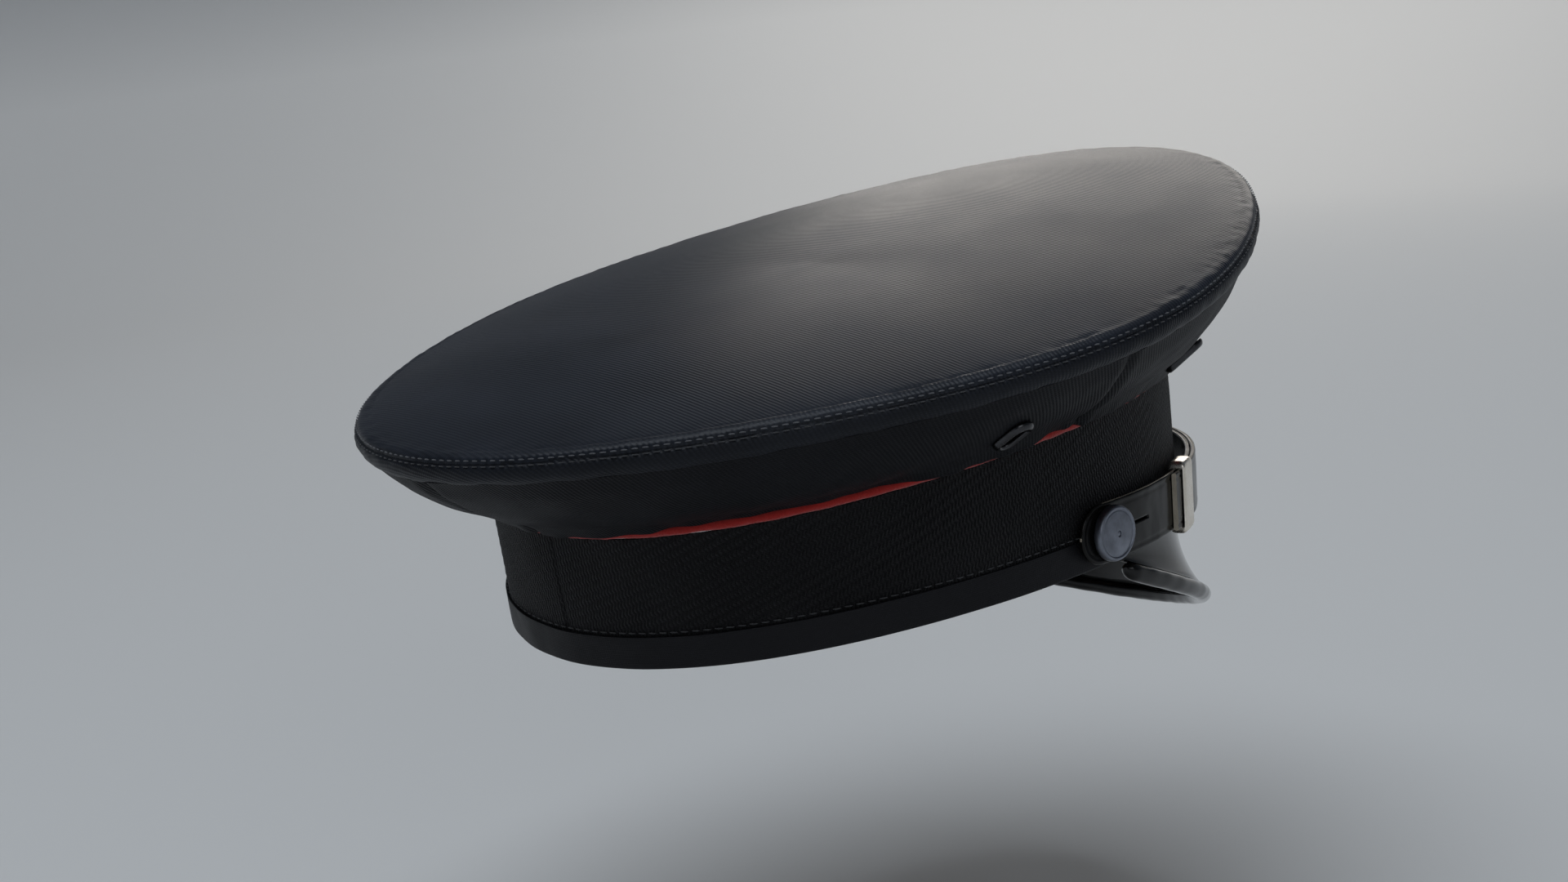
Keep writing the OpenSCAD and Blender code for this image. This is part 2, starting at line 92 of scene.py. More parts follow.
# Band
BAND_HALF_W = 86.5
BAND_HALF_L = 103.0
WAIST_HALF_W = BAND_HALF_W + 0.1
WAIST_HALF_L = BAND_HALF_L + 1.6
WAIST_Z = 40.3
WAIST_RISE = 5.1
WAIST_ARCH = 2.5
BOTTOM_ARCH = 3.6
PIPING_R = 1.3
BINDING_H = 8.2
SWEATBAND_IN = 3.5
BADGE_BORE_R = 2.2
BADGE_Z = 29.0

# Peak
PEAK_L = 35.0
PEAK_CORNER = 79.0
PEAK_SLOPE = 77.0
CORNER_SLOPE = 72.0
PEAK_FULLNESS = 0.92
PEAK_RUN_OUT = 1.4
PEAK_HOLLOW = 3.0
PEAK_TOP_T = 1.0
PEAK_UNDER_T = 0.7
EDGE_R = 2.6

# Chin strap and its buttons
STRAP_W = 16.0
STRAP_T = 1.4
STRAP_HALF_W = 90.2
STRAP_HALF_L = 110.0
STRAP_FRONT_R = 78.0
STRAP_TILT = 3.1
LAYER_MID = 0.8
TAB_BACK = 11.0
KEEPER_AT = 25.5
KEEPER_W = 10.0
KEEPER_ROOM = 0.3
KEEPER_T = 0.7
KEEPER_END_T = 1.9
STRAP_END = KEEPER_AT - 4.5
BUTTON_FRONT = 8.0
BUTTON_Z = 12.5
BUTTON_R = 7.5
SHANK_R = 2.05
WASHER_FACE = 83.6
STRAP_R = (STRAP_HALF_W**2 + (STRAP_HALF_L - STRAP_FRONT_R) ** 2 - STRAP_FRONT_R**2) / (
    2 * (STRAP_HALF_W - STRAP_FRONT_R)
)
STRAP_CENTRE = STRAP_R - STRAP_HALF_W
STRAP_BEND = math.degrees(math.atan2(STRAP_HALF_L - STRAP_FRONT_R, STRAP_CENTRE))

# ---- Lines and surfaces of the cap ----


def sin_of(t):
    return np.sin(np.radians(t))


def cos_of(t):
    return np.cos(np.radians(t))


def points(x, y, z):
    return np.stack(np.broadcast_arrays(x, y, z), axis=-1).astype(float)


def unit(v):
    return v / np.linalg.norm(v, axis=-1, keepdims=True)


def mix(a, b, share):
    return a + (b - a) * share


def wide(values):
    """Numbers, ready to scale the vectors of the same grid."""
    return np.asarray(values, float)[..., None]


def soft_step(x):
    """0 below 0, 1 above 1 and smooth between them."""
    x = np.clip(x, 0, 1)
    return x * x * (3 - 2 * x)


def hump(x, width):
    """1 at x = 0, falling smoothly to nothing a few widths away."""
    return np.exp(-((np.asarray(x, float) / width) ** 2))


def rim(t):
    side = (sin_of(t) + RIM_SIDE_ROUND * sin_of(3 * t)) / (1 - RIM_SIDE_ROUND)
    length = (cos_of(t) + RIM_POINT * cos_of(3 * t)) / (1 + RIM_POINT)
    height = RIM_Z + RIM_RISE * cos_of(t) + RIM_DIP * cos_of(2 * t) + RIM_TURN * cos_of(3 * t)
    return points(RIM_HALF_W * side, RIM_BACK - RIM_HALF_L * length, height)


def rim_along(t):
    side = (cos_of(t) + 3 * RIM_SIDE_ROUND * cos_of(3 * t)) / (1 - RIM_SIDE_ROUND)
    length = (sin_of(t) + 3 * RIM_POINT * sin_of(3 * t)) / (1 + RIM_POINT)
    return unit(points(RIM_HALF_W * side, RIM_HALF_L * length, 0))


def outward_of(along):
    return np.stack([along[..., 1], -along[..., 0], 0 * along[..., 0]], axis=-1)


def rim_outward(t):
    return outward_of(rim_along(t))


def waist(t):
    height = WAIST_Z + WAIST_RISE * cos_of(t) - WAIST_ARCH * cos_of(2 * t)
    return points(WAIST_HALF_W * sin_of(t), 0.75 - WAIST_HALF_L * cos_of(t), height)


def bottom(t):
    height = -0.7 * cos_of(t) - BOTTOM_ARCH * cos_of(2 * t)
    return points(BAND_HALF_W * sin_of(t), -BAND_HALF_L * cos_of(t), height)


def band_along(t):
    return unit(points(BAND_HALF_W * cos_of(t), BAND_HALF_L * sin_of(t), 0))


def band_outward(t):
    return outward_of(band_along(t))


def band_height(t):
    return waist(t)[..., 2] - bottom(t)[..., 2]


def band(t, height, depth):
    """A point of the band, above its bottom edge and behind its outer face."""
    share = wide(height / band_height(t))
    return mix(bottom(t), waist(t), share) - wide(depth) * band_outward(t)


def wall_ends(t):
    foot = waist(t) + 0.6 * band_outward(t) + 1.7 * UP
    head = rim(t) + WALL_TOP_OUT * rim_outward(t) - WALL_TOP_DOWN * UP
    return foot, head


def wall_normal(t):
    foot, head = wall_ends(t)
    return unit(np.cross(band_along(t) + rim_along(t), head - foot))


def wall(t, v, depth):
    """A point of the crown's wall, at a share v of its height and behind its outer face."""
    foot, head = wall_ends(t)
    return mix(foot, head, wide(v)) + wide(WALL_BULGE * 4 * v * (1 - v) - depth) * wall_normal(t)


def top(t, u, depth):
    """A point of the top panel, at a share u of the way out to the rim and below its upper face."""
    edge = rim(t)
    height = mix(RIM_Z, edge[..., 2], u) + TOP_CREST - (TOP_CREST - TOP_ROLL_R) * u**3 - depth
    return points(edge[..., 0] * u, RIM_BACK + (edge[..., 1] - RIM_BACK) * u, height)


def top_reach(t):
    """Level distance from the middle of the top panel to the rim's middle line."""
    return np.linalg.norm((rim(t) - points(0, RIM_BACK, 0))[..., :2], axis=-1)


def top_over_rim(t, share):
    """The top panel out to its crease: domed, then turned down over the rolled rim."""
    level = top_reach(t) - TOP_ROLL_R * math.sin(math.radians(ARC_START - 90))
    arc = TOP_ROLL_R * math.radians(ARC_START - CREASE_TURN)
    run = share * (level + arc)
    domed = top(t, np.minimum(run, level) / top_reach(t), 0)
    turn = ARC_START - np.degrees(np.maximum(run - level, 0) / TOP_ROLL_R)
    turned = rim(t) + TOP_ROLL_R * (wide(cos_of(turn)) * rim_outward(t) + wide(sin_of(turn)) * UP)
    return np.where(wide(run > level), turned, domed)


def peak_frame(t):
    """Share of the peak's full length at t, with the directions down along it and up out of it."""
    share = cos_of(90 * t / (PEAK_CORNER + PEAK_RUN_OUT)) ** PEAK_FULLNESS
    slope = mix(CORNER_SLOPE, PEAK_SLOPE, share)
    down = band_outward(t) * wide(cos_of(slope)) - UP * wide(sin_of(slope))
    up = band_outward(t) * wide(sin_of(slope)) + UP * wide(cos_of(slope))
    return share, down, up


def peak(t, s, depth):
    """A point of the peak, at a share s of its length and under its upper face."""
    share, down, up = peak_frame(t)
    hollow = PEAK_HOLLOW * share * 4 * s * (1 - s)
    return band(t, -0.8, 0.6) + wide(PEAK_L * share * s) * down - wide(hollow + depth) * up


def strap_place():
    """The strap's own frame, whose origin is on the buttons' axis."""
    return turned((0, -BUTTON_FRONT, BUTTON_Z), STRAP_TILT, "X")


def strap_point(a, off, height):
    """A point of the strap where it faces the angle a, from the right side round by the front."""
    side = np.where(cos_of(a) > cos_of(STRAP_BEND), 1.0, 0.0)
    side = np.where(cos_of(a) < -cos_of(STRAP_BEND), -1.0, side)
    front = side == 0
    r = np.where(front, STRAP_FRONT_R, STRAP_R) + off
    x = side * STRAP_CENTRE - r * cos_of(a)
    y = BUTTON_FRONT - np.where(front, STRAP_HALF_L - STRAP_FRONT_R, 0) - r * sin_of(a)
    return points(x, y, height)


def turned(place, degrees, axis):
    """A frame at a place, turned about one of the cap's axes."""
    return Matrix.Translation(place) @ Matrix.Rotation(math.radians(degrees), 4, axis)


def moved(places, matrix):
    m = np.array(matrix, float)
    return places @ m[:3, :3].T + m[:3, 3]


def mirrored(places):
    return places * np.array([-1.0, 1.0, 1.0])


def ripple(places, size, seed):
    """Smooth seeded noise, mostly from -1 to 1, that varies over about the size."""
    rng = np.random.default_rng(seed)
    total = np.zeros(places.shape[:-1])
    waves = 9
    for _ in range(waves):
        direction = unit(rng.normal(size=3))
        rate = 2 * math.pi / size * rng.uniform(0.6, 1.5)
        total += np.sin(places @ direction * rate + rng.uniform(0, 2 * math.pi))
    return total / math.sqrt(waves)


def all_round(count):
    return np.linspace(0, 360, count + 1)[:-1]


def evenly(line, pitch):
    """Angles that step round a closed line of the cap at an even pitch."""
    t = np.linspace(0, 360, 1441)
    steps = np.linalg.norm(np.diff(line(t), axis=0), axis=1)
    run = np.concatenate([[0], np.cumsum(steps)])
    count = round(run[-1] / pitch)
    return np.interp(np.arange(count) * run[-1] / count, run, t)


def rounded(corners, radius, steps):
    """A closed 2-D outline through the corners, each one turned with the radius."""
    corners = np.asarray(corners, float)
    out = []
    for k, corner in enumerate(corners):
        before = corners[k - 1] - corner
        after = corners[(k + 1) % len(corners)] - corner
        cut = min(radius, 0.48 * np.linalg.norm(before), 0.48 * np.linalg.norm(after))
        start = corner + unit(before) * cut
        end = corner + unit(after) * cut
        for f in np.linspace(0, 1, steps + 1):
            out.append((1 - f) ** 2 * start + 2 * f * (1 - f) * corner + f * f * end)
    return np.array(out)


# ---- Meshes ----


def make_mesh(name, vertices, faces, uvs, painted=None, sharp=42, weld=False):
    """A smooth mesh object from vertices and UVs in millimetres. painted is a material number a face."""
    mesh = bpy.data.meshes.new(name)
    mesh.from_pydata((vertices * MM).tolist(), [], faces.tolist())
    layer = mesh.uv_layers.new(name=MAP)
    layer.data.foreach_set("uv", (uvs * MM).astype(np.float32).ravel())
    if painted is not None:
        mesh.polygons.foreach_set("material_index", np.asarray(painted, np.int32))
    work = bmesh.new()
    work.from_mesh(mesh)
    if weld:
        bmesh.ops.remove_doubles(work, verts=work.verts, dist=1e-6)
    bmesh.ops.recalc_face_normals(work, faces=work.faces)
    work.to_mesh(mesh)
    work.free()
    mesh.shade_smooth()
    mesh.set_sharp_from_angle(angle=math.radians(sharp))
    obj = bpy.data.objects.new(name, mesh)
    bpy.context.scene.collection.objects.link(obj)
    return obj


def run_of(steps):
    return np.concatenate([[0], np.cumsum(steps)])


def ring_faces(n, m, closed):
    """The sides of n rings of m points, then the two caps where the row of rings is open."""
    i = np.arange(n if closed else n - 1)[:, None]
    j = np.arange(m)[None, :]
    i_next = (i + 1) % n
    j_next = (j + 1) % m
    corners = [i * m + j, i * m + j_next, i_next * m + j_next, i_next * m + j]
    sides = np.stack(np.broadcast_arrays(*corners), -1).reshape(-1, 4)
    if closed:
        return sides
    k = np.arange(m // 2 - 1)
    cap = np.stack([k, k + 1, m - 2 - k, m - 1 - k], -1)
    return np.concatenate([sides, cap, cap + (n - 1) * m])


def loft(name, rings, closed=False, painted=None, cap_paint=0, **how):
    """A solid through equal rings of points. painted gives the sides of a ring their material numbers."""
    n, m = rings.shape[:2]
    i = np.arange(n if closed else n - 1)[:, None]
    j = np.arange(m)[None, :]
    along = run_of(np.linalg.norm(np.roll(rings, -1, 0) - rings, axis=2).mean(1))
    across = run_of(np.linalg.norm(np.roll(rings, -1, 1) - rings, axis=2).mean(0))
    places = [(i, j), (i, j + 1), (i + 1, j + 1), (i + 1, j)]
    uvs = [np.stack(np.broadcast_arrays(along[a], across[b]), -1) for a, b in places]
    uvs = np.stack(uvs, 2).reshape(-1, 2)
    side_paint = np.zeros(m) if painted is None else np.asarray(painted)
    paint = np.broadcast_to(side_paint, (len(i), m)).ravel()
    if not closed:
        k = np.arange(m // 2 - 1)
        corner = np.stack([across[k], across[k + 1], across[k + 1], across[k]], -1)
        level = np.stack([0 * k, 0 * k, 0 * k + 1, 0 * k + 1], -1)
        cap_uv = np.stack([level, corner], -1).reshape(-1, 2)
        uvs = np.concatenate([uvs, cap_uv, cap_uv])
        paint = np.concatenate([paint, np.full(2 * len(k), cap_paint)])
    return make_mesh(name, rings.reshape(-1, 3), ring_faces(n, m, closed), uvs, paint, **how)


def disc_grid(cells):
    """A square grid bent to fill a disc, closer near its edge: each point's share of the way out, and t."""
    side = np.linspace(-1, 1, cells + 1)
    a, b = np.meshgrid(side, side, indexing="ij")
    x = a * np.sqrt(1 - b * b / 2)
    y = b * np.sqrt(1 - a * a / 2)
    share = np.minimum(np.hypot(x, y), 1)
    return 1 - (1 - share) * (1 - 0.75 * share**4), np.degrees(np.arctan2(x, -y))


def grid_normals(grid):
    return unit(np.cross(np.gradient(grid, axis=0), np.gradient(grid, axis=1)))


def grid_faces(rows, columns):
    i = np.arange(rows - 1)[:, None]
    j = np.arange(columns - 1)[None, :]
    corner = i * columns + j
    return np.stack([corner, corner + columns, corner + columns + 1, corner + 1], -1).reshape(-1, 4)


def thick_grid(name, upper, lower, flat):
    """A closed sheet between two equal grids. flat holds the grid's UVs, in millimetres."""
    rows, columns = upper.shape[:2]
    count = rows * columns
    faces = grid_faces(rows, columns)
    number = np.arange(count).reshape(rows, columns)
    edge = np.concatenate([number[:, 0], number[-1, 1:], number[-2::-1, -1], number[0, -2:0:-1]])
    after = np.roll(edge, -1)
    rim_faces = np.stack([edge, after, after + count, edge + count], -1)
    faces = np.concatenate([faces, faces[:, ::-1] + count, rim_faces])
    vertices = np.concatenate([upper.reshape(-1, 3), lower.reshape(-1, 3)])
    flat = np.tile(flat.reshape(-1, 2), (2, 1))
    return make_mesh(name, vertices, faces, flat[faces.ravel()])


def tube(name, middles, outs, r, sides):
    """A round ring through middle points, with the level direction out of the cap at each."""
    turn = all_round(sides)
    radius = np.broadcast_to(np.asarray(r, float), (len(middles),))[:, None, None]
    spread = outs[:, None] * wide(cos_of(turn)) - UP * wide(sin_of(turn))
    return loft(name, middles[:, None] + radius * spread, closed=True)


def lathe(name, outline, place, steps):
    """Turns an outline of (radius, height) points round the Z axis of a place."""
    turn = all_round(steps)[:, None]
    r, z = outline[:, 0], outline[:, 1]
    rings = points(r * cos_of(turn), r * sin_of(turn), z[None])
    return loft(name, moved(rings, place), closed=True, weld=True)


def stitch_row(name, middles, alongs, outs, length, radius):
    """Short threads that lie along a seam, half sunk into it."""
    stations = np.array([-1, -0.86, -0.5, 0, 0.5, 0.86, 1])
    girth = radius * np.array([0.15, 0.6, 0.95, 1, 0.95, 0.6, 0.15])
    sink = radius * 0.55 * stations**2
    sides = 6
    turn = all_round(sides)
    acrosses = np.cross(alongs, outs)
    spine = middles[:, None] + wide(stations * length / 2) * alongs[:, None] - wide(sink) * outs[:, None]
    ring = wide(cos_of(turn)) * outs[:, None] + wide(sin_of(turn)) * acrosses[:, None]
    rings = spine[:, :, None] + girth[None, :, None, None] * ring[:, None]
    count, n = rings.shape[:2]
    one = ring_faces(n, sides, closed=False)
    faces = (one[None] + (np.arange(count) * n * sides)[:, None, None]).reshape(-1, 4)
    flat = np.stack(np.broadcast_arrays((stations * length)[:, None], turn[None] * radius / 57), -1)
    flat = np.tile(flat.reshape(-1, 2), (count, 1))
    return make_mesh(name, rings.reshape(-1, 3), faces, flat[faces.ravel()], sharp=80)


def cut_with(obj, cutter):
    """Takes the cutter's shape out of obj, for good."""
    change = obj.modifiers.new("cut", "BOOLEAN")
    change.operation = "DIFFERENCE"
    change.solver = "EXACT"
    change.object = cutter
    graph = bpy.context.evaluated_depsgraph_get()
    mesh = bpy.data.meshes.new_from_object(obj.evaluated_get(graph))
    obj.modifiers.remove(change)
    obj.data = mesh
    bpy.data.objects.remove(cutter)


# ---- Materials ----


class Finish:
    """A material under construction: its node tree and its one shader."""

    def __init__(self, name, gloss, **sockets):
        self.material = bpy.data.materials.new(name)
        self.material.use_nodes = True
        self.tree = self.material.node_tree
        self.shader = self.tree.nodes["Principled BSDF"]
        self.shader.inputs["Specular IOR Level"].default_value = gloss
        for socket, value in sockets.items():
            self.shader.inputs[socket.replace("_", " ").title().replace("Ior", "IOR")].default_value = value

    def add(self, kind, inputs=None, **settings):
        node = self.tree.nodes.new(kind)
        for key, value in settings.items():
            setattr(node, key, value)
        for key, value in (inputs or {}).items():
            if isinstance(value, bpy.types.NodeSocket):
                self.tree.links.new(value, node.inputs[key])
            else:
                node.inputs[key].default_value = value
        return node

    def math(self, operation, a, b=0.0):
        return self.add("ShaderNodeMath", {0: a, 1: b}, operation=operation).outputs[0]

    def flat(self):
        return self.add("ShaderNodeUVMap", uv_map=MAP).outputs["UV"]

    def solid(self):
        return self.add("ShaderNodeTexCoord").outputs["Object"]

    def noise(self, size, detail, rough=0.55, vector=None):
        """Noise from 0 to 1 whose lumps are about the size, in millimetres."""
        inputs = {"Vector": vector or self.solid(), "Scale": 1 / (size * MM), "Detail": detail}
        inputs["Roughness"] = rough
        return self.add("ShaderNodeTexNoise", inputs).outputs[0]

    def stripes(self, pitch, angle, warp=None):
        """Stripes from 0 to 1 along the UV map, at a pitch in millimetres and an angle in degrees."""
        direction = (math.cos(math.radians(angle)), math.sin(math.radians(angle)), 0)
        dot = self.add("ShaderNodeVectorMath", {0: self.flat(), 1: direction}, operation="DOT_PRODUCT")
        phase = self.math("MULTIPLY", dot.outputs["Value"], 2 * math.pi / (pitch * MM))
        if warp is not None:
            phase = self.math("ADD", phase, warp)
        return self.spread(self.math("SINE", phase), -1, 1, 0, 1)

    def spread(self, value, a, b, c, d):
        """The value, moved from the range a to b into the range c to d."""
        inputs = {"Value": value, "From Min": a, "From Max": b, "To Min": c, "To Max": d}
        return self.add("ShaderNodeMapRange", inputs).outputs[0]

    def middling(self, noise, low, high):
        """The usual range of a noise, 0.3 to 0.7, moved into the range low to high."""
        return self.spread(noise, 0.3, 0.7, low, high)

    def use(self, socket, value):
        self.tree.links.new(value, self.shader.inputs[socket])

    def roughen(self, noise, low, high):
        self.use("Roughness", self.middling(noise, low, high))

    def paint(self, share, dark, light):
        """Colours the surface from dark to light."""
        inputs = {0: share, 6: rgb(*dark), 7: rgb(*light)}
        self.use("Base Color", self.add("ShaderNodeMix", inputs, data_type="RGBA").outputs[2])

    def bump(self, height, depth):
        """Raises the surface by a height from 0 to 1 times a depth in millimetres, over earlier bumps."""
        inputs = {"Height": height, "Distance": depth * MM, "Strength": 1.0}
        linked = self.shader.inputs["Normal"].links
        if linked:
            inputs["Normal"] = linked[0].from_socket
        self.use("Normal", self.add("ShaderNodeBump", inputs).outputs[0])


def rgb(r, g, b):
    return (r, g, b, 1.0)


def twill(name, dark, light, ridge, shine, rough, relief):
    """Worsted cloth with slanting ridges, fine cross threads and a little lint."""
    pitch, angle = ridge
    sheen, gloss = shine
    tint = rgb(0.82, 0.84, 0.9)
    f = Finish(name, gloss, sheen_weight=sheen, sheen_roughness=0.42, sheen_tint=tint)
    wander = f.spread(f.noise(9, 2), 0, 1, -0.9, 0.9)
    ridges = f.stripes(pitch, angle, warp=wander)
    threads = f.stripes(pitch * 0.62, angle + 68, warp=wander)
    weave = f.math("MULTIPLY", ridges, f.spread(threads, 0, 1, 0.55, 1))
    lint = f.noise(0.5, 4)
    patches = f.noise(26, 4)
    tone = f.math("ADD", f.math("MULTIPLY", weave, 0.5), f.middling(patches, 0, 0.5))
    f.paint(tone, dark, light)
    f.use("Roughness", f.spread(f.math("ADD", patches, lint), 0.6, 1.4, rough[0], rough[1]))
    f.bump(weave, relief)
    f.bump(lint, 0.4 * relief)
    return f.material


def felt(name, dark, light):
    """Woollen felt: soft lumps and short fibres."""
    f = Finish(name, 0.2, sheen_weight=0.35, sheen_roughness=0.5)
    fibres = f.noise(0.55, 6, rough=0.7)
    lumps = f.noise(4, 3)
    f.paint(fibres, dark, light)
    f.roughen(lumps, 0.8, 0.95)
    f.bump(fibres, 0.22)
    f.bump(lumps, 0.5)
    return f.material


def braid(name, dark, light):
    """Coarse ribbed mohair braid, its ribs broken into wavy rows."""
    tint = rgb(0.85, 0.85, 0.88)
    f = Finish(name, 0.18, sheen_weight=0.05, sheen_roughness=0.4, sheen_tint=tint)
    wander = f.spread(f.noise(6, 2), 0, 1, -1.4, 1.4)
    rows = f.stripes(2.6, 112, warp=wander)
    ribs = f.stripes(1.1, 4, warp=f.math("ADD", f.math("MULTIPLY", rows, 2.2), wander))
    strands = f.stripes(0.42, 62)
    lumps = f.math("MULTIPLY", ribs, f.spread(rows, 0, 1, 0.45, 1))
    height = f.math("ADD", lumps, f.math("MULTIPLY", strands, 0.18))
    fuzz = f.noise(0.4, 4)
    patches = f.noise(20, 3)
    tone = f.math("ADD", f.math("MULTIPLY", lumps, 0.65), f.middling(patches, 0, 0.35))
    f.paint(tone, dark, light)
    f.roughen(fuzz, 0.5, 0.72)
    f.bump(height, 0.75)
    f.bump(fuzz, 0.12)
    return f.material


def tape(name, dark, light):
    """Close-woven binding tape with a dull polish."""
    f = Finish(name, 0.16, sheen_weight=0.03, sheen_roughness=0.4)
    weave = f.math("MULTIPLY", f.stripes(0.5, 0), f.stripes(0.5, 90))
    patches = f.noise(14, 4)
    f.paint(patches, dark, light)
    f.roughen(patches, 0.4, 0.56)
    f.bump(weave, 0.05)
    f.bump(patches, 0.35)
    return f.material


def patent(name, colour, rough, waves, scuffs, coat):
    """Varnished leather: a deep gloss over soft waves, with fine rubs and dust."""
    f = Finish(name, 0.16, coat_weight=coat, coat_roughness=0.05, coat_ior=1.45)
    slow = f.noise(waves, 2)
    grain = f.noise(0.9, 3)
    rubs = f.spread(f.noise(3.5, 6, rough=0.75), 0.55, 0.8, 0, 1)
    dust = f.math("MULTIPLY", rubs, scuffs)
    f.paint(dust, colour, (0.16, 0.15, 0.14))
    f.use("Roughness", f.spread(dust, 0, 1, rough, 0.55))
    f.bump(slow, 0.5)
    f.bump(grain, 0.012)
    return f.material


def pale_edge_highlight(name, dark, light):
    """The strap's edge painted pale as a highlight, fibrous and rubbed."""
    f = Finish(name, 0.35)
    fibres = f.noise(0.5, 5, rough=0.7)
    worn = f.noise(5, 4)
    f.paint(f.math("MULTIPLY", fibres, worn), dark, light)
    f.roughen(worn, 0.4, 0.62)
    f.bump(fibres, 0.08)
    return f.material


def metal(name, colour, worn_colour, rough, scratch=0.5, polish=0.0):
    """Plated or lacquered metal with fine scratches and cloudy wear."""
    f = Finish(name, 0.5, metallic=1.0, coat_weight=polish, coat_roughness=0.08)
    clouds = f.noise(5, 5)
    pits = f.noise(0.7, 4)
    stretched = f.add("ShaderNodeMapping", {"Vector": f.solid(), "Scale": (1, 9, 1.4)}).outputs[0]
    lines = f.noise(1.1, 5, vector=stretched)
    f.paint(f.spread(clouds, 0.35, 0.7, 0, 1), colour, worn_colour)
    wear = f.math("ADD", f.math("MULTIPLY", clouds, 0.6), f.math("MULTIPLY", lines, 0.4))
    f.roughen(wear, rough, rough + 0.2)
    f.bump(lines, 0.02 * scratch)
    f.bump(pits, 0.03 * scratch)
    return f.material


def satin(name, dark, light):
    """Lining satin: fine warp floats with a soft shine."""
    f = Finish(name, 0.5, sheen_weight=0.25, sheen_roughness=0.3)
    folds = f.noise(30, 3)
    weave = f.math("MULTIPLY", f.stripes(0.45, 20), f.stripes(0.9, 110))
    f.paint(folds, dark, light)
    f.roughen(folds, 0.3, 0.45)
    f.bump(weave, 0.04)
    f.bump(folds, 1.2)
    return f.material


def leather(name, dark, light):
    """Sweatband leather with pebble grain, darkened in patches."""
    f = Finish(name, 0.4)
    cells = f.add("ShaderNodeTexVoronoi", {"Vector": f.solid(), "Scale": 1 / (0.9 * MM)}).outputs[0]
    grain = f.spread(cells, 0, 0.7, 0, 1)
    stain = f.noise(18, 5)
    fine = f.noise(0.8, 4)
    tone = f.math("ADD", f.math("MULTIPLY", stain, 0.8), f.math("MULTIPLY", grain, 0.2))
    f.paint(tone, dark, light)
    f.roughen(stain, 0.42, 0.6)
    f.bump(grain, 0.1)
    f.bump(fine, 0.05)
    return f.material


def thread(name, dark, light):
    """Twisted sewing thread."""
    f = Finish(name, 0.4, sheen_weight=0.3, roughness=0.6)
    twist = f.stripes(0.35, 55)
    f.paint(twist, dark, light)
    f.bump(twist, 0.05)
    return f.material


def board(name, dark, light):
    """Pressed fibre board or canvas, for the stiffening inside."""
    f = Finish(name, 0.3)
    fibres = f.noise(1.2, 6, rough=0.7)
    f.paint(fibres, dark, light)
    f.roughen(fibres, 0.7, 0.9)
    f.bump(fibres, 0.1)
    return f.material


def studio_paint(name, floor, wall, low, high):
    """The plain pale floor, whose paint turns to the wall's between two heights in millimetres."""
    f = Finish(name, 0.2, roughness=0.85)
    height = f.add("ShaderNodeSeparateXYZ", {"Vector": f.solid()}).outputs["Z"]
    share = f.spread(height, low * MM, high * MM, 0, 1)
    f.paint(share, floor, wall)
    return f.material


# Pitch and slant of the ridges, sheen and gloss, range of roughness, depth of the ridges
TOP_WEAVE = ((1.05, 82), (0.04, 0.2), (0.33, 0.43), 0.065)
ROLL_WEAVE = ((1.05, 82), (0.03, 0.16), (0.4, 0.5), 0.09)
WALL_WEAVE = ((0.95, 23), (0.03, 0.12), (0.48, 0.62), 0.15)
RECIPES = {
    # top, roll and wall are one cloth: the top's colour is lighter as painted light, the wall's is darker as
    # painted shade, and the roll's lies between them
    "top_cloth": (twill, (0.0085, 0.0105, 0.015), (0.024, 0.0285, 0.0395), *TOP_WEAVE),
    "wall_cloth": (twill, (0.004, 0.0043, 0.0055), (0.0105, 0.011, 0.0135), *WALL_WEAVE),
    "roll_cloth": (twill, (0.006, 0.007, 0.0095), (0.016, 0.0185, 0.025), *ROLL_WEAVE),
    "band_braid": (braid, (0.0035, 0.0035, 0.0042), (0.015, 0.015, 0.0165)),
    "binding": (tape, (0.0055, 0.0055, 0.0072), (0.011, 0.011, 0.0135)),
    "red_felt": (felt, (0.20, 0.006, 0.006), (0.52, 0.026, 0.018)),
    "peak_patent": (patent, (0.005, 0.005, 0.005), 0.12, 45, 0.07, 0.35),
    "strap_patent": (patent, (0.005, 0.0047, 0.0043), 0.22, 14, 0.04, 0.06),
    "leather_edge": (pale_edge_highlight, (0.34, 0.29, 0.22), (0.82, 0.76, 0.64)),
    "nickel": (metal, (0.95, 0.89, 0.79), (0.78, 0.71, 0.61), 0.18),
    "button": (metal, (0.26, 0.28, 0.33), (0.16, 0.17, 0.2), 0.3, 1.0),
    "black_metal": (metal, (0.045, 0.045, 0.05), (0.025, 0.025, 0.028), 0.2, 0.6, 0.6),
    "lining": (satin, (0.008, 0.008, 0.010), (0.02, 0.02, 0.025)),
    "sweat_leather": (leather, (0.09, 0.045, 0.02), (0.24, 0.135, 0.065)),
    "pale_thread": (thread, (0.06, 0.063, 0.072), (0.17, 0.177, 0.197)),
    "dark_thread": (thread, (0.02, 0.0213, 0.024), (0.058, 0.061, 0.068)),
    "tan_thread": (thread, (0.22, 0.14, 0.07), (0.45, 0.32, 0.18)),
    "stiff_board": (board, (0.05, 0.045, 0.035), (0.16, 0.14, 0.11)),
    "spring_steel": (metal, (0.42, 0.43, 0.45), (0.3, 0.3, 0.32), 0.25),
}
LOOKS = {name: make(name, *values) for name, (make, *values) in RECIPES.items()}


def finish(obj, looks, body="cap", replaces=()):
    """Gives a piece its materials, the body it rides on and the CAD nodes it stands for."""
    for look in [looks] if isinstance(looks, str) else looks:
        obj.data.materials.append(LOOKS[look])
    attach(obj, body)
    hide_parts(*replaces)
    return obj


# ---- Crown ----


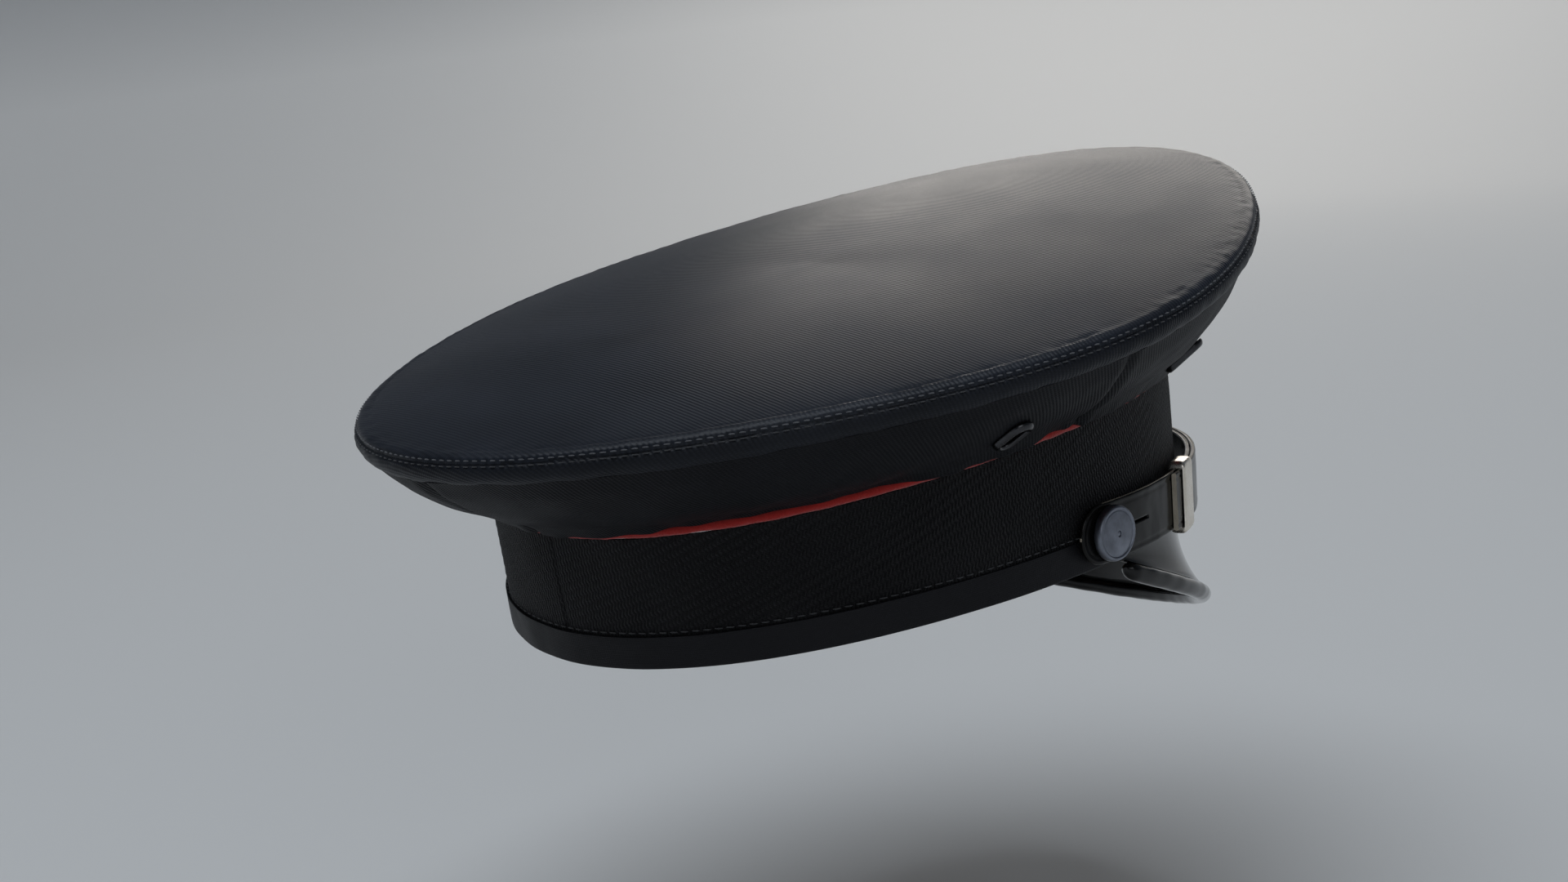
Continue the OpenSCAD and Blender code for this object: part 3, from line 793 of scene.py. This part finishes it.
def finer(grid):
    """The grid with a smooth new line of points between each two, both ways."""
    for _ in range(2):
        padded = np.concatenate([2 * grid[:1] - grid[1:2], grid, 2 * grid[-1:] - grid[-2:-1]])
        middle = (9 * (padded[1:-2] + padded[2:-1]) - padded[:-3] - padded[3:]) / 16
        out = np.empty((2 * len(grid) - 1, *grid.shape[1:]))
        out[::2] = grid
        out[1::2] = middle
        grid = out.swapaxes(0, 1)
    return grid


WORSTED = {
    "quality": 7,
    "mass": 0.25,
    "tension_stiffness": 25,
    "compression_stiffness": 12,
    "shear_stiffness": 8,
    "bending_stiffness": 4,
    "tension_damping": 20,
    "compression_damping": 20,
    "bending_damping": 4,
    "air_damping": 4,
}


def settle(grid, held, lift, frames, most):
    """Cloth simulation of a sheet held where held is true: pushed up by lift, it moves by at most most."""
    rows, columns = grid.shape[:2]
    mesh = bpy.data.meshes.new("settling")
    mesh.from_pydata((grid.reshape(-1, 3) * MM).tolist(), [], grid_faces(rows, columns).tolist())
    obj = bpy.data.objects.new("settling", mesh)
    scene = bpy.context.scene
    scene.collection.objects.link(obj)
    pins = obj.vertex_groups.new(name="pins")
    pins.add([int(k) for k in np.flatnonzero(held.ravel())], 1.0, "REPLACE")
    change = obj.modifiers.new("settle", "CLOTH")
    for setting, value in WORSTED.items():
        setattr(change.settings, setting, value)
    change.settings.vertex_group_mass = "pins"
    scene.gravity = (0, 0, lift)
    change.point_cache.frame_start = 1
    change.point_cache.frame_end = frames
    for number in range(1, frames + 1):
        scene.frame_set(number)
    evaluated = obj.evaluated_get(bpy.context.evaluated_depsgraph_get())
    co = np.zeros(rows * columns * 3, np.float32)
    evaluated.data.vertices.foreach_get("co", co)
    moves = co.reshape(rows, columns, 3) / MM - grid
    size = np.linalg.norm(moves, axis=-1, keepdims=True)
    scene.frame_set(1)
    scene.gravity = (0, 0, -9.81)
    bpy.data.objects.remove(obj)
    return grid + moves * np.minimum(1, most / np.maximum(size, 1e-6))


def eased(shift, times):
    """Shifts of a grid's points, averaged with their neighbours so that only the broad shape is left."""
    for _ in range(times):
        middle = shift[:-2, 1:-1] + shift[2:, 1:-1] + shift[1:-1, :-2] + shift[1:-1, 2:]
        shift = shift.copy()
        shift[1:-1, 1:-1] = middle / 4
    return shift


def crown_top():
    """The top panel: stretched over the hoop, soft, and drawn down into its stitched edge."""
    cells = 88
    share, t = disc_grid(cells)
    grid = top_over_rim(t, share)
    shift = 0 * grid
    settled = settle(grid, share > 0.975, lift=0.3, frames=24, most=0.8)
    shift = eased(settled - grid, times=60)
    share, t = disc_grid(2 * cells)
    grid = top_over_rim(t, share) + finer(shift)
    from_edge = (1 - share) * top_reach(t)
    normal = grid_normals(grid)
    normal = normal * np.sign(normal[len(normal) // 2, len(normal) // 2, 2])
    soft = 0.07 * ripple(grid, 60, 3) * soft_step(from_edge / 25)
    pucker = 0.08 * ripple(grid, 6, 4) * hump(from_edge - 3, 3.5)
    grid = grid + wide(soft + pucker - 0.75 * hump(from_edge, 0.8)) * normal
    under = grid - CLOTH_T * normal
    obj = thick_grid("crown_top_panel", grid, under, grid[..., :2])
    finish(obj, "top_cloth", replaces=["crown_top"])


def lay_flat(obj, flat):
    """Replaces the UV map by one place for each vertex, in millimetres."""
    corners = np.zeros(len(obj.data.loops), np.int32)
    obj.data.loops.foreach_get("vertex_index", corners)
    obj.data.uv_layers[MAP].data.foreach_set("uv", (flat[corners] * MM).astype(np.float32).ravel())


def crown_roll():
    """The rolled rim, its cloth drawn in along the stitched groove and a little uneven."""
    t = all_round(720)
    turn = all_round(40)
    middles = rim(t)[:, None]
    spread = rim_outward(t)[:, None] * wide(cos_of(turn)) + UP * wide(sin_of(turn))
    r = WELT_R - 0.6 * hump(turn - CREASE_TURN + 2, 9) - 0.4 * hump(turn - 110, 40)
    rings = middles + wide(r) * spread
    rings = rings + wide(0.1 * ripple(rings, 16, 8) + 0.07 * ripple(rings, 5, 9)) * spread
    obj = loft("crown_rolled_rim", rings, closed=True)
    past_crest = WELT_R * np.radians(90 - turn + 360 * (turn > 270))
    unrolled = middles + wide(past_crest) * rim_outward(t)[:, None]
    lay_flat(obj, unrolled.reshape(-1, 3)[:, :2])
    finish(obj, "roll_cloth", replaces=["crown_welt"])


def crown_stitches():
    t = evenly(rim, 2.5)
    rim_row = ("crown_rim_stitches", 40, TOP_ROLL_R, "pale_thread")
    roll_row = ("crown_roll_stitches", 20, WELT_R, "dark_thread")
    for name, turn, r, look in (rim_row, roll_row):
        out = unit(rim_outward(t) * cos_of(turn) + UP * sin_of(turn))
        obj = stitch_row(name, rim(t) + r * out, rim_along(t), out, 1.6, 0.17)
        finish(obj, look)


def cloth_wall(t, v, depth, seam_distance, seed):
    """The wall with its tucked head, the droop over the piping, seams drawn in and soft ripples."""
    t = np.asarray(t, float)
    base = wall(t, v, depth)
    head = soft_step((v - 0.86) / 0.14)
    base = base + wide(0.9 * head) * rim_outward(t) + wide(1.7 * head) * UP
    bare = np.maximum(bare_piping(t), bare_piping(360 - t))
    droop = 1 - 0.95 * bare
    base = base + wide(droop * 1.5 * hump(v - 0.09, 0.09)) * band_outward(t)
    base = base - wide(droop * 2.4 * hump(v - 0.02, 0.06)) * UP
    tuck = bare * (1 - soft_step(v / 0.07))
    base = base - wide(1.6 * tuck) * UP - wide(1.1 * tuck) * band_outward(t)
    seam = -0.8 * hump(seam_distance, 1.5) + 0.22 * hump(seam_distance - 3.5, 2)
    soft = 0.3 * ripple(base, 34, seed) + 0.12 * ripple(base, 12, seed + 1)
    pucker = 0.2 * ripple(base * np.array([1, 1, 0.25]), 8, seed + 2) * hump(v, 0.16)
    calm = soft_step((1 - v) / 0.15) * soft_step((from_vents(base) - 5) / 9)
    return base + wide(seam + (soft + pucker) * calm) * wall_normal(t)


def from_vents(places):
    """Distance of places on the wall to the nearest vent eyelet."""
    folded = np.abs(places * np.array([1, 0, 0])) + places * np.array([0, 1, 1])
    centres = [vent_place(vent)[0] for vent in (FRONT_VENT, BACK_VENT)]
    return np.min([np.linalg.norm(folded - centre, axis=-1) for centre in centres], axis=0)


def bare_piping(t):
    """1 where the crown's cloth leaves the piping bare, 0 where it droops over it."""
    t = np.asarray(t, float) % 360
    long_gap = soft_step((t - 192) / 16) * soft_step((246 - t) / 8)
    short_gap = soft_step((t - 260) / 7) * soft_step((269.5 - t) / 2)
    return np.maximum(long_gap, 0.7 * short_gap)


def side_seam(v):
    return SEAM_WAIST + SEAM_LEAN * v


def crown_panel(name, front, right, seed):
    """One quarter of the crown's wall, with no hole cut where the vent eyelet sits."""
    s = np.linspace(0, 1, 130)[:, None]
    v = np.linspace(0, 1, 44)[None, :]
    if right:
        s = s[::-1]
    start = 0 if front else side_seam(v)
    end = side_seam(v) if front else 180
    t = mix(start, end, s)
    if right:
        t = 360 - t
    run = np.radians(np.abs(end - start)) * PANEL_R
    to_seam = np.minimum(s * run, (1 - s) * run)
    outer = cloth_wall(t, v, 0, to_seam, seed)
    inner = cloth_wall(t, v, CLOTH_T, to_seam, seed)
    rings = np.concatenate([outer, inner[:, ::-1]], axis=1)
    obj = loft(name, rings)
    node = name.replace("_panel", "")
    finish(obj, "wall_cloth", replaces=[node])


def crown_lining():
    cells = 110
    share, t = disc_grid(cells)
    bend = 0.72
    top_share = np.clip(share / bend, 0, 1)
    wall_share = np.clip((share - bend) / (1 - bend), 0, 1)

    def surface(extra):
        upper = top(t, 0.89 * top_share, 5.5 + extra)
        side = wall(t, mix(0.84, 0.1, wall_share), 3.2 + extra)
        return np.where(wide(share < bend), upper, side)

    outer = surface(0)
    folds = 0.35 * ripple(outer, 26, 21) * soft_step(share / 0.3)
    outer = outer - wide(np.abs(folds)) * UP
    inner = surface(0.6) - wide(np.abs(folds)) * UP
    flat = points(share * 170 * sin_of(t), -share * 190 * cos_of(t), 0)[..., :2]
    obj = thick_grid("crown_lining_satin", outer, inner, flat)
    finish(obj, "lining", replaces=["crown_lining"])


# ---- Band ----


def waist_piping():
    t = all_round(720)
    middles = waist(t) - 0.2 * band_outward(t)
    uneven = PIPING_R * (1 + 0.05 * ripple(middles, 9, 31) + 0.03 * ripple(middles, 3, 32))
    obj = tube("waist_piping_felt", middles, band_outward(t), uneven, 16)
    finish(obj, "red_felt", replaces=["waist_piping"])


def band_cover():
    """Ribbed braid round the band, its wavy rows raised, with the seam at the back."""
    t = all_round(1150)[:, None]
    share = np.linspace(0, 1, 72)
    height = mix(1.2, band_height(t) - 1.5, share)
    run = t / 360 * 2 * math.pi * 95
    wave = np.sin(2 * math.pi * (height * 0.93 - run * 0.37) / 2.6 + 0.8 * np.sin(2 * math.pi * run / 3.4))
    chain = np.sin(2 * math.pi * run / 3.4 + 0.8 * np.sin(2 * math.pi * height / 4.6))
    base = band(t, height, 0)
    relief = 0.08 * wave * (0.6 + 0.4 * chain) + 0.25 * ripple(base, 40, 41)
    seam = hump((t - 180) * 1.8, 0.9)
    relief = relief * (1 - seam) - 0.5 * seam
    outer = base + wide(relief - 0.1) * band_outward(t)
    inner = band(t, height, 1.1)[:, ::-1]
    obj = loft("band_braid_cover", np.concatenate([outer, inner], axis=1), closed=True, sharp=70)
    finish(obj, "band_braid", replaces=["band_cover"])


def band_binding():
    corners = [(-0.6, 3.2), (-0.6, -0.7), (BINDING_H, -0.7), (BINDING_H, -0.1), (0.6, -0.1), (0.6, 3.2)]
    outline = rounded(corners, 0.7, 7)
    steps = []
    for a, b in zip(outline, np.roll(outline, -1, 0), strict=True):
        count = max(1, int(np.linalg.norm(b - a) / 0.8))
        steps.extend(mix(a, b, f) for f in np.arange(count) / count)
    outline = np.array(steps if len(steps) % 2 == 0 else steps[:-1])
    t = all_round(540)[:, None]
    rings = band(t, outline[:, 0], outline[:, 1])
    outer = outline[:, 1] < -0.2
    rings = rings + wide(0.12 * ripple(rings, 22, 51) * outer) * band_outward(t)
    obj = loft("band_bottom_binding", rings, closed=True)
    finish(obj, "binding", replaces=["band_binding"])


def band_stitches():
    t = evenly(bottom, 3.0)
    middles = band(t, BINDING_H + 0.9, -0.16)
    obj = stitch_row("binding_stitches", middles, band_along(t), band_outward(t), 2.1, 0.17)
    finish(obj, "dark_thread")


def sweatband():
    """Leather round the inside, with a turned lower edge, a stitched hem and a lapped back seam."""
    t = all_round(540)[:, None]
    share = np.linspace(0, 1, 30)
    height = mix(1.0, band_height(t) - 2.6, share)
    base = band(t, height, SWEATBAND_IN)
    lap = 0.35 * soft_step((t - 176) / 0.6) * soft_step((184 - t) / 0.6)
    hem = 0.25 * hump(height - 1.4, 1.2) - 0.2 * hump(height - 4.2, 0.7)
    swell = 0.18 * ripple(base, 30, 61) + hem + lap
    inner = band(t, height, SWEATBAND_IN + 1) - wide(swell) * band_outward(t)
    obj = loft("sweatband_leather", np.concatenate([base, inner[:, ::-1]], axis=1), closed=True)
    finish(obj, "sweat_leather", replaces=["sweatband"])
    t = evenly(bottom, 3.2)
    middles = band(t, 4.2, SWEATBAND_IN + 0.92)
    row = stitch_row("sweatband_stitches", middles, band_along(t), -band_outward(t), 2.3, 0.24)
    finish(row, "tan_thread")
    t = all_round(540)
    reed = tube("sweatband_reed_cord", band(t, -0.3, 4.1), band_outward(t), 0.8, 12)
    finish(reed, "sweat_leather", replaces=["sweatband_reed"])


def badge_eyelet():
    flange = BADGE_BORE_R + 2.1
    barrel = BADGE_BORE_R + 0.4
    tail = flange - 0.6
    outline = [(BADGE_BORE_R, 0.25), (BADGE_BORE_R + 0.35, 0), (tail, 0.1), (flange, 0.55), (flange, 0.8)]
    outline += [(barrel, 0.8), (barrel, 3.6), (tail, 3.6), (tail, 4.2), (BADGE_BORE_R, 4.2)]
    place = turned((0, -BAND_HALF_L - 1.75, BADGE_Z), -90, "X")
    obj = lathe("badge_eyelet_ring", rounded(outline, 0.25, 3), place, 72)
    finish(obj, "black_metal", replaces=["badge_eyelet"])


# ---- Peak ----


def peak_sheet(name, upper, thick, node):
    t = np.linspace(-PEAK_CORNER, PEAK_CORNER, 300)[:, None]
    s = np.linspace(0, 1, 44)
    top_face = peak(t, s, upper)
    low_face = peak(t, s, upper + thick)
    wave = wide(0.16 * ripple(top_face, 38, 71) * soft_step(s / 0.2) * soft_step((1 - s) / 0.1))
    _, _, up = peak_frame(t)
    rings = np.concatenate([(top_face + wave * up)[:, ::-1], low_face + wave * up], axis=1)
    obj = loft(name, rings)
    finish(obj, "peak_patent", replaces=[node])


def peak_edge():
    t = np.linspace(-PEAK_CORNER, PEAK_CORNER, 320)[:, None]
    _, down, up = peak_frame(t)
    run = (PEAK_CORNER - np.abs(t[:, 0])) * 1.7
    r = EDGE_R * np.sqrt(np.clip(1 - (1 - np.clip(run / EDGE_R, 0.04, 1)) ** 2, 0, 1))
    turn = all_round(24)
    middles = peak(t, 1, 0.85) + (EDGE_R + 0.1) * down
    spread = wide(cos_of(turn)) * up + wide(sin_of(turn)) * down
    rings = middles + r[:, None, None] * spread
    rings = rings + wide(0.05 * ripple(rings, 9, 75)) * spread
    obj = loft("peak_rolled_edge", rings)
    finish(obj, "peak_patent", replaces=["peak_edge"])


# ---- Chin strap ----


def strap_outline(from_end):
    """Half the strap's height at a distance from its rounded end."""
    r = STRAP_W / 2
    return np.where(from_end >= r, r, np.sqrt(np.clip(r * r - (r - from_end) ** 2, 0, None)))


def strap_half(name, off, left, node):
    """One half of the strap, with a pressed line inside its edge, the button hole and its slit."""
    tab_angle = -math.degrees(math.asin((TAB_BACK - BUTTON_FRONT) / STRAP_R))
    degree = math.radians(1) * STRAP_R
    tab = (STRAP_W / 2) * (1 - np.cos(np.radians(np.linspace(3, 90, 22))))
    body_angles = np.linspace(tab_angle + tab[-1] / degree, 180 - STRAP_END, 300)
    angles = np.concatenate([tab_angle + tab[:-1] / degree, body_angles])
    from_end = (angles - tab_angle) * degree
    half = strap_outline(from_end)[:, None]
    across = sin_of(np.linspace(-90, 90, 31))
    height = half * across
    r = STRAP_W / 2
    ahead = from_end[:, None]
    inside = r - np.where(ahead < r, np.hypot(r - ahead, height), np.abs(height))
    pressed = 0.16 * hump(inside - 1.5, 0.32) + 0.3 * np.clip(1 - inside / 0.45, 0, 1) ** 2
    a = angles[:, None]
    uneven = 0.05 * ripple(strap_point(a, 0, height), 13, 81)
    outer = strap_point(a, off + STRAP_T / 2 - pressed + uneven, height)
    inner = strap_point(a, off - STRAP_T / 2 + 0.5 * np.clip(1 - inside / 0.4, 0, 1) ** 2, height)
    edge_up = strap_point(angles, off, half[:, 0] + 0.06)[:, None]
    edge_low = strap_point(angles, off, -half[:, 0] - 0.06)[:, None]
    rings = np.concatenate([outer, edge_up, inner[:, ::-1], edge_low], axis=1)
    count = len(across)
    paint = np.zeros((len(angles) - 1, 2 * count + 2))
    # material 1 on the upper and lower edges past the tab, and on the end caps, is a painted pale highlight
    paint[len(tab):, [count - 1, count, 2 * count, 2 * count + 1]] = 1
    rings = moved(rings, strap_place())
    if left:
        rings = mirrored(rings)
    obj = loft(name, rings, painted=paint, cap_paint=1, sharp=50)
    side = 1 if left else -1
    hole = turned((side * (STRAP_HALF_W + off), -BUTTON_FRONT, BUTTON_Z), 90, "Y")
    r = SHANK_R + 0.07
    cut_with(obj, lathe("cutter", np.array([(0, -4), (r, -4), (r, 4), (0, 4)]), hole, 48))
    corners = ((-7, -0.45), (7, -0.45), (7, 0.45), (-7, 0.45))
    slit = np.array([[(x, y, z) for y, z in corners] for x in (-4.0, 4.0)])
    slit_at = Matrix.Translation((side * (STRAP_HALF_W - 0.6), -13, 0))
    cut_with(obj, loft("cutter", moved(slit, strap_place() @ slit_at)))
    finish(obj, ["strap_patent", "leather_edge"], "chinstrap", [node])


def keeper(name, left, node, body):
    """A bright loop bent from flat strip, round both layers of the strap."""
    room_t = 2 * LAYER_MID + STRAP_T + 2 * KEEPER_ROOM
    room_h = STRAP_W + 2 * KEEPER_ROOM
    half_t, half_h = room_t / 2, room_h / 2
    inner = [(-half_t, -half_h), (half_t, -half_h), (half_t, half_h), (-half_t, half_h)]
    outer_t, outer_h = half_t + KEEPER_T, half_h + KEEPER_END_T
    outer = [(-outer_t, -outer_h), (outer_t, -outer_h), (outer_t, outer_h), (-outer_t, outer_h)]
    inner = rounded(inner, 0.5, 7)
    outer = rounded(outer, 1.9, 7)
    width = np.array([-0.5, -0.5, -0.47, -0.42, -0.3, 0, 0.3, 0.42, 0.47, 0.5, 0.5]) * KEEPER_W
    lift = np.array([0, 0.5, 0.8, 0.94, 1, 1, 1, 0.94, 0.8, 0.5, 0])
    face = mix(inner[:, None], outer[:, None], wide(lift)[None])
    back = width[-2:0:-1]
    off, high = (np.concatenate([face[..., k], inner[:, k : k + 1] + 0 * back], axis=1) for k in (0, 1))
    along = np.concatenate([width, back])
    a = KEEPER_AT + np.degrees(along / STRAP_R)
    rings = moved(strap_point(a, off, high), strap_place())
    if left:
        rings = mirrored(rings)
    obj = loft(name, rings, closed=True, sharp=60)
    finish(obj, "nickel", body, [node])


def side_button(name, seat, left, node, body):
    """A flat-topped button with a raised rim, standing on its shank."""
    shank = seat - WASHER_FACE + 0.5
    r = BUTTON_R
    head = [(edge, 2.9 - 0.55 * (edge / 6) ** 2) for edge in np.linspace(0, 5.9, 9)]
    head += [(6.2, 2.2), (6.45, 2.5), (6.95, 2.55), (7.35, 2.1)]
    rim_line = [(r, 1.4), (r, 0.5), (7.2, 0.08), (6.6, 0), (SHANK_R + 0.5, 0), (SHANK_R, -0.4)]
    foot = [(SHANK_R, -shank + 0.3), (SHANK_R - 0.3, -shank), (0, -shank)]
    outline = np.array(head + rim_line + foot)
    smooth = rounded(outline[1:-1], 0.3, 3)
    outline = np.concatenate([outline[:1], smooth, outline[-1:]])
    side = 1 if left else -1
    place = turned((side * seat, -BUTTON_FRONT, BUTTON_Z), side * 90, "Y")
    obj = lathe(name, outline, place, 96)
    finish(obj, "button", body, [node])


# ---- Vent eyelets ----


def vent_place(vent):
    """Centre of an eyelet on the left wall, with its axes: along its slot, across it and out."""
    t, v, slope = vent
    step = 0.02
    across = wall(np.array(t + 1), v, 0) - wall(np.array(t - 1), v, 0)
    rise = wall(np.array(t), v + step, 0) - wall(np.array(t), v - step, 0)
    out = unit(np.cross(across, rise))
    up = unit(np.cross(band_along(np.array(t)), -out))
    front = np.cross(out, up)
    turn = math.radians(slope)
    x = math.cos(turn) * front + math.sin(turn) * up
    return wall(np.array(t), v, 0), x, np.cross(out, x), out


def oval_path(l, h, stations):
    """Points and outward directions round an oval with straight sides."""
    a = all_round(stations)
    out = np.stack([cos_of(a), sin_of(a)], -1)
    centre = np.stack([np.sign(np.round(out[:, 0], 6)) * (l - h) / 2, 0 * a], -1)
    return centre + out * h / 2, out


def vent_eyelet(name, vent, left, node):
    """An oval eyelet with a swelling rim and a barrel through the cloth."""
    at, x, y, out = vent_place(vent)
    corners = [(0, -2.3), (0.6, -2.3), (0.6, 0.1), (2.0, 0.1), (2.0, 0.8), (1.5, 1.6), (0.8, 1.95), (0, 1.5)]
    profile = rounded(corners, 0.5, 4)
    path, away = oval_path(*EYELET_SLOT, 72)
    flat = path[:, None] + away[:, None] * profile[None, :, :1]
    level = profile[None, :, 1:] + 0 * flat[..., :1]
    rings = at + flat[..., :1] * x + flat[..., 1:] * y + level * out
    if not left:
        rings = mirrored(rings)
    obj = loft(name, rings, closed=True, sharp=60)
    finish(obj, "black_metal", replaces=[node])


# ---- Inner CAD pieces that stay as they are ----


def dress_inner_nodes():
    """The hidden stiffening, wire and washers keep their CAD shapes and get their materials."""
    looks = {"front_stay": "stiff_board", "band_stiffener": "stiff_board", "crown_hoop": "spring_steel"}
    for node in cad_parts:
        if "washer" in node:
            looks[node] = "nickel"
    for node, look in looks.items():
        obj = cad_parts[node]
        obj.data.materials.clear()
        obj.data.materials.append(LOOKS[look])


# ---- Studio ----


FLOOR_GAP = 85.0  # the cap hangs this far above the floor
FLOOR_PAINT = (0.8, 0.8, 0.79)
WALL_PAINT = (0.2, 0.215, 0.24)
PAINT_TURNS = (180.0, 520.0)  # heights above the floor between which the paint changes


def studio():
    """A pale floor that curves up into a round wall, far enough out for any view."""
    floor_z = cad_box[0].z / MM - FLOOR_GAP
    profile = [(0.0, 0.0), (500.0, 0.0), (1100.0, 0.0), (1600.0, 0.0)]
    profile += [(1600 + 900 * math.sin(a), 900 * (1 - math.cos(a))) for a in np.radians(np.arange(6, 91, 6))]
    profile += [(2500.0, 2600.0)]
    r, z = np.array(profile).T
    turn = all_round(96)[:, None]
    grid = points(r * cos_of(turn), r * sin_of(turn), floor_z + z[None])
    grid = np.concatenate([grid, grid[:1]])
    mesh_faces = grid_faces(*grid.shape[:2])
    flat = points(r + 0 * turn, 6 * turn + 0 * r, 0)[..., :2]
    flat = np.concatenate([flat, flat[:1]])
    flat = flat.reshape(-1, 2)[mesh_faces.ravel()]
    obj = make_mesh("studio_floor", grid.reshape(-1, 3), mesh_faces, flat, weld=True)
    obj.data.flip_normals()
    low, high = (floor_z + height for height in PAINT_TURNS)
    obj.data.materials.append(studio_paint("studio_paint", FLOOR_PAINT, WALL_PAINT, low, high))


def area_light(name, place, aim, size, watts, colour):
    light = bpy.data.lights.new(name, "AREA")
    light.shape = "RECTANGLE"
    light.size = size[0] * MM
    light.size_y = size[1] * MM
    light.energy = watts
    light.color = colour
    obj = bpy.data.objects.new(name, light)
    obj.location = Vector(place) * MM
    obj.rotation_euler = (Vector(aim) - Vector(place)).to_track_quat("-Z", "Y").to_euler()
    bpy.context.scene.collection.objects.link(obj)


def lights():
    centre = (0, 0, 50)
    area_light("key_softbox", (1240, -1820, 560), centre, (1150, 400), 6, (1.0, 0.95, 0.89))
    area_light("top_softbox", (0, 200, 2400), centre, (1900, 1900), 30, (0.85, 0.92, 1.0))
    area_light("fill_softbox", (-1700, 900, 900), centre, (1200, 900), 4, (0.93, 0.96, 1.0))
    world = bpy.data.worlds.new("studio_world")
    world.use_nodes = True
    back = world.node_tree.nodes["Background"]
    back.inputs["Color"].default_value = rgb(0.88, 0.9, 0.93)
    back.inputs["Strength"].default_value = 0.08
    bpy.context.scene.world = world
    bpy.context.scene.view_settings.view_transform = "Standard"


def camera():
    """Stands behind the wearer's right side, a little above the band and leaning slightly."""
    azimuth, elevation, roll = (math.radians(angle) for angle in (227.801, 12.362, -6.583))
    place = Vector((-495.4, 470.1, 183.0))
    data = bpy.data.cameras.new("photo_camera")
    data.sensor_width = 36
    data.lens = 56.447
    data.clip_start = 0.01
    data.clip_end = 20
    obj = bpy.data.objects.new("photo_camera", data)
    level = math.cos(elevation)
    back = Vector((math.sin(azimuth) * level, -math.cos(azimuth) * level, math.sin(elevation)))
    right = (-back).cross(Vector((0, 0, 1))).normalized()
    up = right.cross(-back)
    x = right * math.cos(roll) + up * math.sin(roll)
    y = up * math.cos(roll) - right * math.sin(roll)
    obj.matrix_world = Matrix.Translation(place * MM) @ Matrix((x, y, back)).transposed().to_4x4()
    bpy.context.scene.collection.objects.link(obj)
    bpy.context.scene.camera = obj


# ---- The whole cap ----


def build_cap():
    crown_top()
    crown_roll()
    crown_stitches()
    seed = 11
    for half in ("front", "back"):
        for side in ("right", "left"):
            crown_panel(f"crown_{half}_{side}_panel", half == "front", side == "right", seed)
            seed += 5
    crown_lining()
    waist_piping()
    band_cover()
    band_binding()
    band_stitches()
    sweatband()
    badge_eyelet()
    peak_sheet("peak_upper_patent", 0, PEAK_TOP_T, "peak_top")
    peak_sheet("peak_under_patent", PEAK_TOP_T + 0.05, PEAK_UNDER_T, "peak_underlay")
    peak_edge()
    for side, off in (("right", -LAYER_MID), ("left", LAYER_MID)):
        left = side == "left"
        strap_half(f"strap_{side}_leather", off, left, f"strap_{side}")
        keeper(f"keeper_{side}_loop", left, f"keeper_{side}", f"keeper_{side}_slide")
        seat = STRAP_HALF_W + off + STRAP_T / 2 + 0.5
        side_button(f"button_{side}_metal", seat, left, f"button_{side}", f"button_{side}_turn")
        for place, vent in (("front", FRONT_VENT), ("back", BACK_VENT)):
            vent_eyelet(f"vent_{place}_{side}_ring", vent, left, f"vent_eyelet_{place}_{side}")
    dress_inner_nodes()


camera()
build_cap()
studio()
lights()
